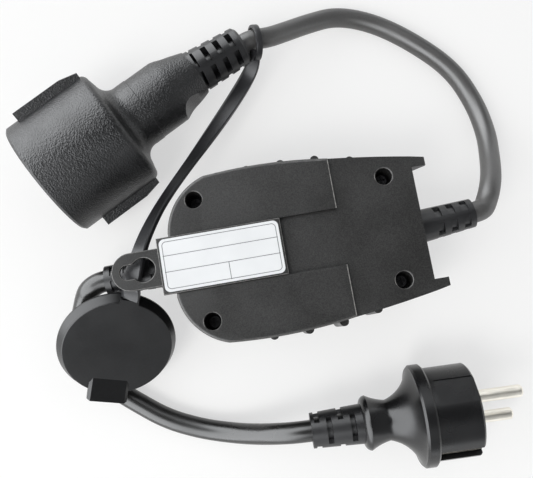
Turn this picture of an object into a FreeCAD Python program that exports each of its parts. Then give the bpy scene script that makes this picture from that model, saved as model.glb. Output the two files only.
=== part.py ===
import FreeCAD, Part
import math
import os

from FreeCAD import Matrix, Placement, Rotation, Vector

# In-line outdoor timer box, lying face down, with a short lead to a plug and a short lead to a
# capped coupling socket. Sizes are millimetres. The origin lies on the table under the middle of
# the box and its hanger, +X runs along the casing to its eared end and +Z is up, out of its back.

# Casing
casing_depth = 45.0        # front face to back face
rear_cover_depth = 14.0    # how much of it is the rear cover
end_x = 47.5               # half the casing's length without the ears
end_half_width = 12.0      # flat of the rounded end
corner_x = -31.0           # where the rounded corner meets the side
corner_half_width = 31.7
corner_bulge_x = -42.4
corner_bulge_half_width = 24.0
waist_x = 16.5
waist_half_width = 30.3
square_half_width = 25.8   # half the width at the eared end
wall = 2.2
edge_round = 1.2
front_round = 2.5
ear_length = 5.3
ear_gap_half_width = 21.5
ear_drop = 11.0            # how deep an ear's root is
step_x = 16.6              # where the two raised pads end
step_drop = 1.6            # how far the channel and the eared half lie below the pads
step_bevel = 0.4
rib_xs = (-14.4, -1.2, 12.0, 25.2)
rib_radius = 1.7
rib_proud = 1.2
rib_top_drop = 4.0
rib_bottom = 12.0

# Casing screws
screw_left_x = -35.9
screw_left_y = 23.0
screw_right_x = 36.4
screw_right_y = 19.9
screw_head_radius = 2.8
screw_head_height = 2.2
screw_shank_radius = 1.45
screw_length = 15.0
counterbore_radius = 3.25
counterbore_rim = 0.3      # chamfer at its mouth
screw_seat_rise = 3.0      # the screws' seats above the parting line
boss_radius = 4.9
cross_width = 0.9
cross_length = 3.4
cross_depth = 1.2
bore_play = 0.08           # radial play of a screw in its pilot hole
pass_play = 0.3            # radial play of a screw where it only passes through

# Casing seal
seal_width = 0.9
seal_height = 1.0
seal_inset = 0.6
seal_play = 0.04

# Hanger
bar_right_x = -5.3
bar_left_x = -52.0
bar_half_width = 10.6
bar_thickness = 2.4
bar_edge_round = 0.35
bar_play = 0.15
tongue_height = 0.7
tongue_reach = 1.1
tab_tip_x = -70.1
tab_half_width = 7.1
tab_thickness = 1.8
key_hole_x = -58.3
key_hole_radius = 4.55
key_slot_x = -64.4
key_slot_half_width = 2.75
hanger_travel = 21.5
lug_x = -43.5
lug_length = 3.0
lug_half_width = 3.0
lug_depth = 0.9
label_left_x = -51.1
label_right_x = -6.2
label_half_width = 9.9
label_thickness = 0.2
label_corner = 2.0

# Display bay and its cover
bay_left_x = -30.0
bay_right_x = 30.0
bay_half_width = 22.5
bay_depth = 3.2
bay_wall = 2.0
cover_play = 0.35
cover_thickness = 2.0
cover_lift = 0.4           # how far the cover lies inside the front face
hinge_x = 27.0
hinge_z = 2.0
hinge_pin_radius = 0.8
hinge_pin_play = 0.05
hinge_pin_reach = 2.0      # how far the pin stands in the casing on each side
knuckle_radius = 1.6
knuckle_relief = 0.35
knuckle_half_length = 18.0
cover_notch_radius = 5.0

# Display
window_left_x = -22.0
window_right_x = 12.0
window_low_y = -3.0
window_high_y = 15.0
window_ledge = 1.2
window_thickness = 1.2
lcd_thickness = 2.4
lcd_frame_wall = 1.2
lcd_play = 0.2

# Buttons
button_xs = (-20.0, -10.0, 0.0, 10.0, 20.0)
button_names = ("clock_button", "day_button", "hour_button", "minute_button", "manual_button")
button_y = -11.0
button_length = 7.0
button_width = 4.6
button_play = 0.15
button_proud = 0.45
button_flange = 0.8
button_flange_thickness = 0.8
button_seat_play = 0.1
button_travel = 0.8
dome_radius = 1.9
dome_play = 0.15

# Control board
board_thickness = 1.6
control_board_z = 11.0
control_left_x = -34.0
control_right_x = 32.0
control_half_width = 17.0
neck_right_x = 38.6
neck_half_width = 9.0
control_post_left_x = -31.0
control_post_right_x = 29.4
control_post_y = 14.2
post_radius = 2.2
small_screw_radius = 0.95
small_screw_head_radius = 1.9
small_screw_head_height = 1.4
small_screw_length = 6.0
mat_thickness = 1.0

# Light sensor
sensor_x = 35.7
sensor_radius = 2.7
sensor_flange = 0.7
sensor_cell_radius = 2.0
lamp_y = 7.6
lamp_radius = 1.5

# Power board
power_board_drop = 23.0    # the board's underside below the casing's back
power_half_length = 30.0
power_half_width = 22.6
power_post_x = 24.0
power_post_y = 20.2
relay_size = (19.0, 15.4, 15.2)
relay_place = (-6.0, 8.5)
capacitor_size = (17.8, 8.0, 14.0)
capacitor_place = (-6.0, -9.5)
electrolytic_radius = 4.0
electrolytic_height = 12.0
electrolytic_place = (10.0, -8.0)
varistor_radius = 5.0
varistor_thickness = 4.2
varistor_place = (11.0, 10.5)
fuse_radius = 2.6
fuse_length = 13.0
fuse_place = (-8.5, -18.0)
battery_radius = 6.2
battery_height = 3.2
battery_place = (-22.0, 4.0)
link_size = (2.6, 16.0)
link_place = (26.0, 0.0)
terminal_size = (10.0, 17.0, 11.0)
terminal_x = 22.0
terminal_pitch = 5.0
terminal_hole_radius = 1.6
terminal_hole_depth = 6.0

# Leads
cord_radius = 4.2
core_radius = 1.3
core_spread = 2.2
core_low_drop = 1.3         # outer cores below the lead's axis
core_high_rise = 1.9
core_straight = 3.0
core_bend_run = 7.5
sheath_end_x = 38.5
sheath_play = 0.05

# Bend reliefs
gland_root_radius = 6.6
gland_tip_radius = 5.7
gland_neck_radius = 6.2
gland_flange_radius = 8.0
gland_flange_thickness = 2.0
gland_play = 0.08
gland_out_length = 22.5
gland_out_bend = 5.0       # how far its outer part is bent aside
gland_lead_run = 2.6       # how far a lead leaves its gland in line with it
gland_in_length = 27.9
slot_floor_radius = 4.9
gland_slots = (5, 52.0, 0.0)          # slots in a row, each slot's arc, turn from row to row
gland_slot_width = 2.6
gland_slot_pitch = 5.3
gland_tip_ring = 2.3                  # solid ring past the last row
gland_slot_turn = 10.0
coupling_slots = (6, 47.0, 0.0)
coupling_slot_rows = ((1.1, 1.2), (5.9, 2.4), (11.5, 2.4), (17.1, 2.4))   # each row's start and width
coupling_slot_turn = 28.5
plug_slots = (2, 93.0, 76.0)
plug_slot_rows = ((2.8, 2.1), (7.4, 2.1), (12.0, 2.1), (16.6, 2.1))
plug_slot_turn = -79.5

# Cord clamps
clamp_x = 41.2
clamp_width = 3.6
clamp_half_length = 9.0
clamp_thickness = 2.2
clamp_screw_y = 7.0

# Coupling socket
coupling_mouth = (-95.69, 45.54)
coupling_turn = 27.65
coupling_radius = 25.3
coupling_barrel = 38.4
coupling_shoulder = 44.5
coupling_neck_radius = 13.8
coupling_neck_step = 0.2              # the grained part of the neck stands this proud
coupling_grain_end = 49.5             # where the grained part ends
coupling_neck_end = 61.8
coupling_body_length = 75.5
coupling_tail_radius = 9.7
coupling_cavity = 32.6
grip_radius = 8.0                     # finger scoops behind the neck
grip_centre = 68.5
grip_half_width = 9.9
wing_starts = (8.6, 7.0)              # the wing towards the casing, then the other
wing_end = 36.2
wing_width = 11.0
wing_proud = 3.3
wing_root = 4.0                       # how far a wing reaches into the barrel's wall
wing_turn = 28.0                      # both wings are turned about the barrel's axis as it lies
wing_taper_start = 28.6
wing_end_proud = 1.7
relief_length = 23.0
relief_root_radius = 9.2
relief_tip_radius = 8.2
relief_bend = 5.5                     # how far the relief is bent towards the casing
relief_tip_round = 1.2
insert_radius = 21.4
insert_length = 32.4
recess_radius = 19.9
recess_depth = 18.0
contact_spacing = 19.0
contact_hole_radius = 2.6
contact_wall = 0.9
contact_length = 11.0
earth_clip_width = 5.0
earth_clip_thickness = 0.8
earth_clip_length = 14.0

# Plug
plug_flange_centre = (36.9, -72.35)
plug_turn = -1.9
plug_dip = 0.6
plug_roll = -33.0          # puts the upper pin towards +Y
plug_flange_radius = 19.8
plug_flange_thickness = 5.0
plug_nose_radius = 17.9
plug_nose_length = 17.4
plug_flare_length = 10.8
plug_waist_radius = 7.8
plug_collar_radius = 10.6
plug_collar_length = 10.2
plug_collar_place = 2.4    # the collar's crest ahead of its rear end
plug_relief_length = 20.0
plug_relief_root_radius = 7.7
plug_relief_tip_radius = 6.8
plug_pin_radius = 2.4
plug_pin_length = 19.0
plug_pin_root = 9.0
plug_pin_shank_radius = 1.9  # inside the hard core
plug_core_radius = 14.2
plug_core_length = 15.0
guide_half_width = 5.3     # flat guides beside each pin
guide_depth = 1.3
guide_start = 2.0
earth_notch_half_width = 3.4
earth_notch_depth = 2.6
earth_strip_width = 4.0
earth_strip_thickness = 0.6

# Cap, its strap and its ring
lid_centre = (-76.34, -26.98, 25.3)
lid_tilt = 37.4
lid_lean = -74.0
lid_strap_heading = 60.6   # of the lid's strap seen from above
lid_radius = 21.4
lid_rim_radius = 23.3
lid_edge_round = 0.5
lid_foot = 0.8             # upright rim under the skirt
lid_height = 4.6
lid_thickness = 1.8
lid_wall = 1.7
pull_width = 16.0
pull_length = 9.0
pull_turn = 32.0           # how far the pull rises from the lid
pull_inset = 6.9
pull_tip = 2.6             # thickness of the pull's free end
pull_chamfer = 1.2
strap_width = 7.2
strap_ring_width = 6.0     # at its ring
strap_thickness = 1.9
ring_radius = 7.4
ring_bore_radius = 6.1
ring_width = 2.8
ring_hang = 1.0
ring_pull = 1.2            # how far the strap draws it aside
hinge_gap = 0.3
strap_lead = 2.2           # straight end of the strap in line with the lid
ring_offset = 2.6          # the ring's place on the lead past its straight end

coupling_lead_run = 4.6    # how far each lead leaves its fitting in line with it
plug_lead_run = 6.0

# Heights that follow from the casing's depth
parting_height = casing_depth - rear_cover_depth
screw_seat_height = parting_height + screw_seat_rise
power_board_z = casing_depth - power_board_drop
lead_z = parting_height    # height of both glands' axes

# Routes of the free leads, from the casing to what they end in
lead_out_route = [
    (75.5, 3.1, lead_z - 1.2), (77.8, 6.0, lead_z - 2.9), (80.4, 10.5, lead_z - 4.0), (84.1, 17.1, lead_z - 8.8),
    (87.8, 26.2, 15.0), (91.1, 38.2, 8.2), (90.4, 53.9, 4.25),
    (83.8, 70.9, 4.25), (69.4, 86.4, 4.25), (53.4, 98.7, 4.25), (37.0, 103.8, 6.6),
    (23.1, 99.7, 12.4), (11.8, 94.9, 18.4), (3.5, 91.2, 23.6),
]
lead_in_route = [
    (-82.5, -1.8, lead_z - 0.5), (-85.2, -3.9, lead_z - 3.5),
    (-88.5, -9.7, lead_z - 7.4), (-92.5, -15.0, 16.9), (-94.2, -22.4, 12.1), (-92.3, -34.3, 4.25), (-85.7, -41.8, 4.25),
    (-76.6, -49.4, 4.25), (-64.7, -58.6, 4.25), (-50.8, -65.0, 4.25), (-38.8, -68.3, 6.6),
    (-29.3, -69.8, 11.4), (-20.8, -70.3, 16.8),
]
strap_route = [
    (-3.2, 84.9, 18.0), (-7.9, 78.0, 14.8), (-16.4, 67.9, 15.6), (-27.0, 56.0, 17.4),
    (-38.7, 43.0, 20.4), (-49.3, 28.9, 28.4), (-55.2, 18.2, casing_depth - 9.0),
    (-59.6, 9.0, casing_depth - 4.6), (-62.8, 0.6, casing_depth - 4.0), (-65.2, -4.8, casing_depth - 5.6),
]

UP = Vector(0, 0, 1)
ALONG = Vector(1, 0, 0)
beyond = 100.0             # farther than any tool that cuts right through has to reach

# The model is built about the casing's middle and then moved, so that the origin is the middle
# of the box with its hanger pulled out.
ear_tip_x = end_x + ear_length
origin_x = (ear_tip_x + tab_tip_x) / 2


def box(x0, x1, y0, y1, z0, z1):
    return Part.makeBox(x1 - x0, y1 - y0, z1 - z0, Vector(x0, y0, z0))


def cylinder(radius, start, end):
    start = Vector(*start)
    end = Vector(*end)
    return Part.makeCylinder(radius, (end - start).Length, start, end - start)


def revolve(profile):
    """Solid of revolution about X of a list of (x, radius) points."""
    points = [Vector(x, 0, r) for x, r in profile]
    wire = Part.makePolygon(points + [points[0]])
    return Part.Face(wire).revolve(Vector(0, 0, 0), ALONG, 360)


def plate(points, z0, z1):
    """Upright prism over a list of (x, y) corners."""
    corners = [Vector(x, y, z0) for x, y in points]
    return Part.Face(Part.makePolygon(corners + [corners[0]])).extrude(Vector(0, 0, z1 - z0))


def rounded_plate(x0, x1, y0, y1, z0, z1, radius):
    solid = box(x0, x1, y0, y1, z0, z1)
    uprights = [e for e in solid.Edges if abs(e.tangentAt(e.FirstParameter).z) > 0.9]
    return solid.makeFillet(radius, uprights)


def laid(shape, placement):
    shape = shape.copy()
    shape.Placement = placement.multiply(shape.Placement)
    return shape


def mirrored(shape):
    return shape.mirror(Vector(0, 0, 0), Vector(0, 1, 0))


def both_sides(shape):
    return [shape, mirrored(shape)]


def save(name, solids):
    """Write one node as a STEP file of separate solids."""
    if not isinstance(solids, (list, tuple)):
        solids = [solids]
    flat = []
    for solid in solids:
        flat.extend(solid.removeSplitter().Solids)
    for solid in flat:
        if not solid.isValid():
            raise ValueError(name + " is not a valid solid")
    shape = flat[0] if len(flat) == 1 else Part.makeCompound(flat)
    shape.translate(Vector(-origin_x, 0, 0))
    shape.exportStep("parts/" + name + ".step")
    volume = sum(solid.Volume for solid in flat)
    print("%-20s solids %2d  volume %9.1f mm3" % (name, len(flat), volume))


def round_path(points):
    """Straight runs joined by tangent arcs, each as large as its two runs allow."""
    points = [Vector(*p) for p in points]
    edges = []
    radii = []
    last = points[0]
    for i in range(1, len(points) - 1):
        back = points[i - 1] - points[i]
        ahead = points[i + 1] - points[i]
        reach = 0.45 * min(back.Length, ahead.Length)
        back.normalize()
        ahead.normalize()
        half_turn = (math.pi - back.getAngle(ahead)) / 2
        radius = reach / math.tan(half_turn)
        radii.append(radius)
        first = points[i] + back * reach
        second = points[i] + ahead * reach
        inward = (back + ahead).normalize()
        middle = points[i] + inward * (radius / math.cos(half_turn) - radius)
        edges.append(Part.LineSegment(last, first).toShape())
        edges.append(Part.Arc(first, middle, second).toShape())
        last = second
    edges.append(Part.LineSegment(last, points[-1]).toShape())
    return Part.Wire(edges), radii


def tube(points, radius, name):
    """Round solid along a route, with its radii and its volume's check printed."""
    path, radii = round_path(points)
    start = Vector(*points[0])
    heading = Vector(*points[1]) - start
    section = Part.Wire(Part.Circle(start, heading, radius).toShape())
    solid = path.makePipeShell([section], True, False)
    share = solid.Volume / (math.pi * radius ** 2 * path.Length)
    print("%s length %.1f volume share %.4f radii %s" % (
        name, path.Length, share, " ".join("%.0f" % r for r in radii)))
    return solid


def slotted(profile, rows, pattern, turn):
    """Bend relief along X: a turned body with the lead's bore and rows of slots that are arcs round it."""
    count, arc, stagger = pattern
    body = revolve(profile)
    start = min(x for x, r in profile)
    length = max(x for x, r in profile)
    body = body.cut(cylinder(cord_radius, (start - 1, 0, 0), (length + 1, 0, 0)))
    outer = max(r for x, r in profile) + 2
    for row, (x, width) in enumerate(rows):
        corners = [Vector(x, 0, slot_floor_radius), Vector(x + width, 0, slot_floor_radius),
                   Vector(x + width, 0, outer), Vector(x, 0, outer)]
        face = Part.Face(Part.makePolygon(corners + [corners[0]]))
        slot = face.revolve(Vector(0, 0, 0), ALONG, arc)
        for i in range(count):
            each = slot.copy()
            each.rotate(Vector(0, 0, 0), ALONG, turn + row % 2 * stagger + i * 360.0 / count)
            body = body.cut(each)
    return body


def outline_face(z, inset=0.0, length=None):
    """The casing's outline at a height, drawn in by inset on all sides."""
    right = end_x if length is None else length
    side = waist_half_width - square_half_width
    upper = [
        (-end_x, end_half_width), (corner_bulge_x, corner_bulge_half_width),
        (corner_x, corner_half_width), ((corner_x + waist_x) / 2, corner_half_width + 0.75),
        (waist_x, waist_half_width),
        ((waist_x + end_x) / 2, waist_half_width - side / 2 + 0.25), (end_x, square_half_width),
    ]
    points = [Vector(x, y, z) for x, y in upper]
    low = [Vector(p.x, -p.y, p.z) for p in points]
    edges = []
    for chain in (points, low[::-1]):
        for i in (0, 2, 4):
            edges.append(Part.Arc(chain[i], chain[i + 1], chain[i + 2]).toShape())
    edges.append(Part.LineSegment(points[-1], low[-1]).toShape())
    edges.append(Part.LineSegment(low[0], points[0]).toShape())
    face = Part.Face(Part.Wire(Part.__sortEdges__(edges)))
    if inset:
        face = face.makeOffset2D(-inset)
    return face


def prism(z0, z1, inset=0.0):
    return outline_face(z0, inset).extrude(Vector(0, 0, z1 - z0))


def screw(x, y, seat_z, head_radius, head_height, shank_radius, length):
    """Cross-head screw standing on its seat, shank down."""
    head = cylinder(head_radius, (x, y, seat_z), (x, y, seat_z + head_height))
    top = seat_z + head_height
    rim = [e for e in head.Edges if abs(e.BoundBox.ZMin - top) < 1e-6 and e.BoundBox.ZLength < 1e-6]
    head = head.makeFillet(head_height * 0.4, rim)
    shank = cylinder(shank_radius, (x, y, seat_z - length), (x, y, seat_z))
    share = head_radius / screw_head_radius
    half_length = cross_length * share / 2
    half_width = cross_width * share / 2
    floor = top - cross_depth * share
    cross = box(x - half_length, x + half_length, y - half_width, y + half_width, floor, top)
    other = box(x - half_width, x + half_width, y - half_length, y + half_length, floor, top)
    return head.fuse(shank).cut(cross).cut(other)


low_back = casing_depth - step_drop
case_screw_places = [(screw_left_x, screw_left_y), (screw_left_x, -screw_left_y),
                     (screw_right_x, screw_right_y), (screw_right_x, -screw_right_y)]


def side_ribs(z0, z1):
    """Four upright grip ribs on each long side between two heights."""
    ribs = []
    for x in rib_xs:
        reach = corner_half_width + 0.9 if x < waist_x else waist_half_width - (x - waist_x) * 0.135
        if corner_x < x < waist_x:
            reach -= 0.45 * abs(x - (corner_x + waist_x) / 2) / 10
        centre_y = reach + rib_proud - rib_radius
        rib = cylinder(rib_radius, (x, centre_y, z0), (x, centre_y, z1))
        ribs.extend(both_sides(rib))
    return ribs


def gland_ports(radius):
    """Round holes through both ends at the leads' height."""
    ports = []
    for sign in (-1, 1):
        ports.append(cylinder(radius, (sign * (end_x - wall - 1), 0, lead_z),
                              (sign * (end_x + 1), 0, lead_z)))
    return ports


# Rear cover
def counterbore(x, y, top):
    """Tool for a screw's deep hole with a chamfered mouth."""
    r = counterbore_radius
    wide = r + counterbore_rim + 1
    points = [Vector(x, y, screw_seat_height), Vector(x + r, y, screw_seat_height),
              Vector(x + r, y, top - counterbore_rim), Vector(x + wide, y, top + 1), Vector(x, y, top + 1)]
    return Part.Face(Part.makePolygon(points + [points[0]])).revolve(Vector(x, y, 0), UP, 360)


def make_rear_cover():
    body = prism(parting_height, casing_depth)
    top_edges = [e for e in body.Edges
                 if abs(e.BoundBox.ZMin - casing_depth) < 1e-6 and e.BoundBox.ZLength < 1e-6]
    body = body.makeFillet(edge_round, top_edges)
    inner = prism(parting_height - 1, low_back - wall, wall)
    body = body.cut(inner)
    channel = bar_half_width + bar_play
    body = body.cut(box(-end_x - 1, step_x, -channel, channel, low_back, casing_depth + 1))
    body = body.cut(box(step_x, end_x + 1, -beyond, beyond, low_back, casing_depth + 1))
    # The pads' ends are bevelled
    bevel = [Vector(step_x - step_bevel, 0, casing_depth), Vector(step_x, 0, casing_depth - step_bevel),
             Vector(step_x + 1, 0, casing_depth + 1), Vector(step_x - step_bevel, 0, casing_depth + 1)]
    for point in bevel:
        point.y = -beyond
    body = body.cut(Part.Face(Part.makePolygon(bevel + [bevel[0]])).extrude(Vector(0, beyond * 2, 0)))
    for ear in both_sides(make_ear()):
        body = body.fuse(ear)
    # Undercut grooves for the hanger's tongues, open at the rounded end
    groove = channel + tongue_reach
    groove_top = low_back + bar_play * 2 + tongue_height
    body = body.cut(box(-end_x - 1, step_x, -groove, groove, low_back, groove_top))
    # Blind pocket for the lug that keeps the hanger on the cover
    body = body.cut(box(lug_x - bar_play, lug_x + lug_length + hanger_travel + bar_play,
                        -lug_half_width - bar_play, lug_half_width + bar_play,
                        low_back - lug_depth - bar_play, low_back + 1))
    for x, y in case_screw_places:
        top = casing_depth if x < step_x else low_back
        boss = cylinder(boss_radius, (x, y, parting_height), (x, y, low_back - wall + 0.1))
        body = body.fuse(boss)
        body = body.cut(counterbore(x, y, top))
        body = body.cut(cylinder(screw_shank_radius + pass_play, (x, y, parting_height - 1),
                                 (x, y, screw_seat_height + 1)))
    for rib in side_ribs(parting_height, casing_depth - rib_top_drop):
        body = body.fuse(rib)
    body = body.cut(prism(parting_height - 1, low_back - wall, wall).common(
        Part.makeCompound(side_ribs(parting_height - 1, low_back - wall))))
    for port in gland_ports(gland_neck_radius + gland_play):
        body = body.cut(port)
    return body


def make_ear():
    """Triangular gusset that runs on past the end face."""
    root_x = end_x - 1.0
    profile = [Vector(root_x, 0, low_back), Vector(ear_tip_x, 0, low_back),
               Vector(ear_tip_x, 0, low_back - 1.5), Vector(root_x, 0, low_back - ear_drop)]
    face = Part.Face(Part.makePolygon(profile + [profile[0]]))
    slab = face.extrude(Vector(0, square_half_width, 0))
    slope = (square_half_width - 24.7) / ear_length
    outside = plate([(root_x, square_half_width + slope), (ear_tip_x, square_half_width - ear_length * slope),
                     (ear_tip_x, beyond), (root_x, beyond)], 0, casing_depth)
    slab = slab.cut(outside)
    return slab.cut(box(0, beyond, -1, ear_gap_half_width, 0, casing_depth))


# Front shell
def bay_block(inset, z1):
    """The display bay's box, drawn out by a wall."""
    return box(bay_left_x - inset, bay_right_x + inset, -bay_half_width - inset,
               bay_half_width + inset, -1, z1)


bay_floor = bay_depth
bay_ceiling = bay_depth + wall


def make_front_shell():
    body = prism(0, parting_height)
    rim = [e for e in body.Edges if abs(e.BoundBox.ZMax) < 1e-6]
    body = body.makeFillet(front_round, rim)
    cavity = prism(wall, parting_height + 1, wall).cut(bay_block(bay_wall, bay_ceiling))
    body = body.cut(cavity)
    body = body.cut(bay_block(0, bay_floor))
    for x, y in case_screw_places:
        body = body.fuse(cylinder(boss_radius, (x, y, wall - 0.1), (x, y, parting_height)))
    for x, y in control_post_places():
        body = body.fuse(cylinder(post_radius, (x, y, bay_ceiling - 0.1), (x, y, control_board_z)))
    for x, y in power_post_places():
        body = body.fuse(cylinder(post_radius, (x, y, bay_ceiling - 0.1), (x, y, power_board_z)))
    clamp_seat = lead_z - cord_radius
    for sign in (-1, 1):
        x0, x1 = sorted((sign * (clamp_x - clamp_width / 2), sign * (clamp_x + clamp_width / 2)))
        body = body.fuse(box(x0, x1, -clamp_half_length, clamp_half_length, wall - 0.1, clamp_seat + 1.5))
        body = body.cut(cylinder(cord_radius + sheath_play, (x0 - 1, 0, lead_z), (x1 + 1, 0, lead_z)))
        for y in (-clamp_screw_y, clamp_screw_y):
            body = body.cut(cylinder(small_screw_radius + bore_play,
                                     (sign * clamp_x, y, clamp_seat - 6), (sign * clamp_x, y, beyond)))
    for rib in side_ribs(rib_bottom, parting_height):
        body = body.fuse(rib.cut(prism(0, casing_depth, wall / 2)))
    for x, y in case_screw_places:
        body = body.cut(cylinder(screw_shank_radius + bore_play,
                                 (x, y, screw_seat_height - screw_length - 1), (x, y, parting_height + 1)))
    for x, y in control_post_places():
        body = body.cut(cylinder(small_screw_radius + bore_play, (x, y, bay_ceiling),
                                 (x, y, control_board_z + 1)))
    for x, y in power_post_places():
        body = body.cut(cylinder(small_screw_radius + bore_play,
                                 (x, y, power_board_z - small_screw_length), (x, y, power_board_z + 1)))
    for port in gland_ports(gland_neck_radius + gland_play):
        body = body.cut(port)
    body = body.cut(seal_ring(seal_play))
    # Window, its ledge, the buttons' holes and the sensor's and lamp's holes
    body = body.cut(box(window_left_x, window_right_x, window_low_y, window_high_y, 0, bay_ceiling + 1))
    body = body.cut(box(window_left_x - window_ledge, window_right_x + window_ledge,
                        window_low_y - window_ledge, window_high_y + window_ledge,
                        0, bay_floor + window_thickness))
    for x in button_xs:
        half_length = button_length / 2 + button_play
        half_width = button_width / 2 + button_play
        body = body.cut(box(x - half_length, x + half_length, button_y - half_width,
                            button_y + half_width, 0, bay_ceiling + 1))
    body = body.cut(cylinder(sensor_radius + sheath_play, (sensor_x, 0, -1), (sensor_x, 0, wall + 1)))
    body = body.cut(cylinder(lamp_radius + sheath_play, (sensor_x, lamp_y, -1), (sensor_x, lamp_y, wall + 1)))
    # The hinge pin's blind holes and the relief behind the knuckles
    pin_end = bay_half_width + hinge_pin_reach
    body = body.cut(cylinder(hinge_pin_radius, (hinge_x, -pin_end, hinge_z), (hinge_x, pin_end, hinge_z)))
    body = body.cut(cylinder(knuckle_radius + knuckle_relief, (hinge_x, -knuckle_half_length - 1, hinge_z),
                             (hinge_x, knuckle_half_length + 1, hinge_z)))
    return body


def control_post_places():
    return [(x, y) for x in (control_post_left_x, control_post_right_x)
            for y in (-control_post_y, control_post_y)]


def power_post_places():
    return [(x, y) for x in (-power_post_x, power_post_x) for y in (-power_post_y, power_post_y)]


def seal_ring(play=0.0):
    """Flat gasket let into the front shell's rim, open where the glands pass."""
    z0 = parting_height - seal_height - play
    outer = prism(z0, parting_height, seal_inset - play)
    ring = outer.cut(prism(z0 - 1, parting_height + 1, seal_inset + seal_width + play))
    for port in gland_ports(gland_neck_radius + gland_play + 0.6 - play):
        ring = ring.cut(port)
    return ring


# Hanger slide
def make_hanger():
    z0 = low_back + bar_play
    bar = box(bar_left_x, bar_right_x, -bar_half_width, bar_half_width, z0, z0 + bar_thickness)
    tongue = bar_half_width + tongue_reach
    bar = bar.fuse(box(-end_x + 1.5, bar_right_x, -tongue, tongue, z0, z0 + tongue_height))
    tab_end = tab_tip_x + tab_half_width
    tab = box(tab_end, bar_left_x + 1, -tab_half_width, tab_half_width, z0, z0 + tab_thickness)
    tab = tab.fuse(cylinder(tab_half_width, (tab_end, 0, z0), (tab_end, 0, z0 + tab_thickness)))
    body = bar.fuse(tab)
    body = body.fuse(box(lug_x, lug_x + lug_length, -lug_half_width, lug_half_width,
                         z0 - lug_depth, z0 + 0.1))
    body = body.cut(cylinder(key_hole_radius, (key_hole_x, 0, 0), (key_hole_x, 0, beyond)))
    body = body.cut(box(key_slot_x, key_hole_x, -key_slot_half_width, key_slot_half_width, z0 - 1, beyond))
    body = body.cut(cylinder(key_slot_half_width, (key_slot_x, 0, 0), (key_slot_x, 0, beyond)))
    body = body.removeSplitter()
    rims = [e for e in body.Edges if e.BoundBox.ZLength < 1e-6
            and (abs(e.BoundBox.ZMin - z0 - bar_thickness) < 1e-6
                 or abs(e.BoundBox.ZMin - z0 - tab_thickness) < 1e-6 and e.BoundBox.XMin < bar_left_x - 1e-3)]
    return body.makeFillet(bar_edge_round, rims)


hanger_top = low_back + bar_play + bar_thickness


def make_label():
    return rounded_plate(label_left_x, label_right_x, -label_half_width, label_half_width,
                         hanger_top, hanger_top + label_thickness, label_corner)


# Display cover and its hinge
cover_z0 = cover_lift
cover_half_width = bay_half_width - cover_play


def make_cover():
    z1 = cover_z0 + cover_thickness
    body = box(bay_left_x + cover_play, hinge_x, -cover_half_width, cover_half_width, cover_z0, z1)
    low = [e for e in body.Edges if e.BoundBox.ZMax < cover_z0 + 1e-6 and e.BoundBox.XMax < hinge_x - 0.1]
    body = body.makeFillet(0.6, low)
    clear = knuckle_radius + knuckle_relief
    for y0, y1 in ((-cover_half_width - 1, -knuckle_half_length), (knuckle_half_length, cover_half_width + 1)):
        body = body.cut(box(hinge_x - clear - 0.6, hinge_x + clear, y0, y1, -1, bay_floor))
    body = body.fuse(cylinder(knuckle_radius, (hinge_x, -knuckle_half_length, hinge_z),
                              (hinge_x, knuckle_half_length, hinge_z)))
    body = body.cut(cylinder(hinge_pin_radius + hinge_pin_play, (hinge_x, -bay_half_width, hinge_z),
                             (hinge_x, bay_half_width, hinge_z)))
    # Finger notch in the free edge
    return body.cut(cylinder(cover_notch_radius, (bay_left_x - 3.0, 0, -1), (bay_left_x - 3.0, 0, bay_floor)))


def make_hinge_pin():
    reach = bay_half_width + hinge_pin_reach
    return cylinder(hinge_pin_radius, (hinge_x, -reach, hinge_z), (hinge_x, reach, hinge_z))


# Display pieces
window_z1 = bay_floor + window_thickness
lcd_z0 = bay_ceiling + 0.1


def make_window():
    ledge = window_ledge - lcd_play / 2
    body = box(window_left_x - ledge, window_right_x + ledge, window_low_y - ledge, window_high_y + ledge,
               bay_floor, window_z1)
    return body


def make_lcd():
    return box(window_left_x - 1, window_right_x + 1, window_low_y - 1, window_high_y + 1,
               lcd_z0, lcd_z0 + lcd_thickness)


def make_lcd_frame():
    play = 1 + lcd_play
    reach = play + lcd_frame_wall
    z1 = control_board_z
    body = box(window_left_x - reach, window_right_x + reach, window_low_y - reach, window_high_y + reach,
               lcd_z0, z1)
    body = body.cut(box(window_left_x - play, window_right_x + play, window_low_y - play,
                        window_high_y + play, 0, lcd_z0 + lcd_thickness))
    return body.cut(box(window_left_x, window_right_x, window_low_y + 2, window_high_y - 2, 0, z1 + 1))


# Buttons and their mat
button_z0 = bay_floor - button_proud
button_seat_z = bay_ceiling + button_seat_play
button_back_z = button_seat_z + button_flange_thickness
dome_z = button_back_z + button_travel + dome_play


def make_button(x):
    half_length = button_length / 2
    half_width = button_width / 2
    cap = box(x - half_length, x + half_length, button_y - half_width, button_y + half_width,
              button_z0, button_back_z)
    low = [e for e in cap.Edges if e.BoundBox.ZMax < button_z0 + 1e-6]
    cap = cap.makeFillet(0.35, low)
    half_length += button_flange
    half_width += button_flange
    return cap.fuse(box(x - half_length, x + half_length, button_y - half_width, button_y + half_width,
                        button_seat_z, button_back_z))


def make_mat():
    half_width = button_width / 2 + 0.8
    mat = box(button_xs[0] - 5, button_xs[-1] + 5, button_y - half_width, button_y + half_width,
              control_board_z - mat_thickness, control_board_z)
    for x in button_xs:
        mat = mat.fuse(cylinder(dome_radius, (x, button_y, dome_z), (x, button_y, control_board_z - 0.1)))
    return mat


# Boards and what stands on them
control_top = control_board_z + board_thickness
power_top = power_board_z + board_thickness


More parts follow.
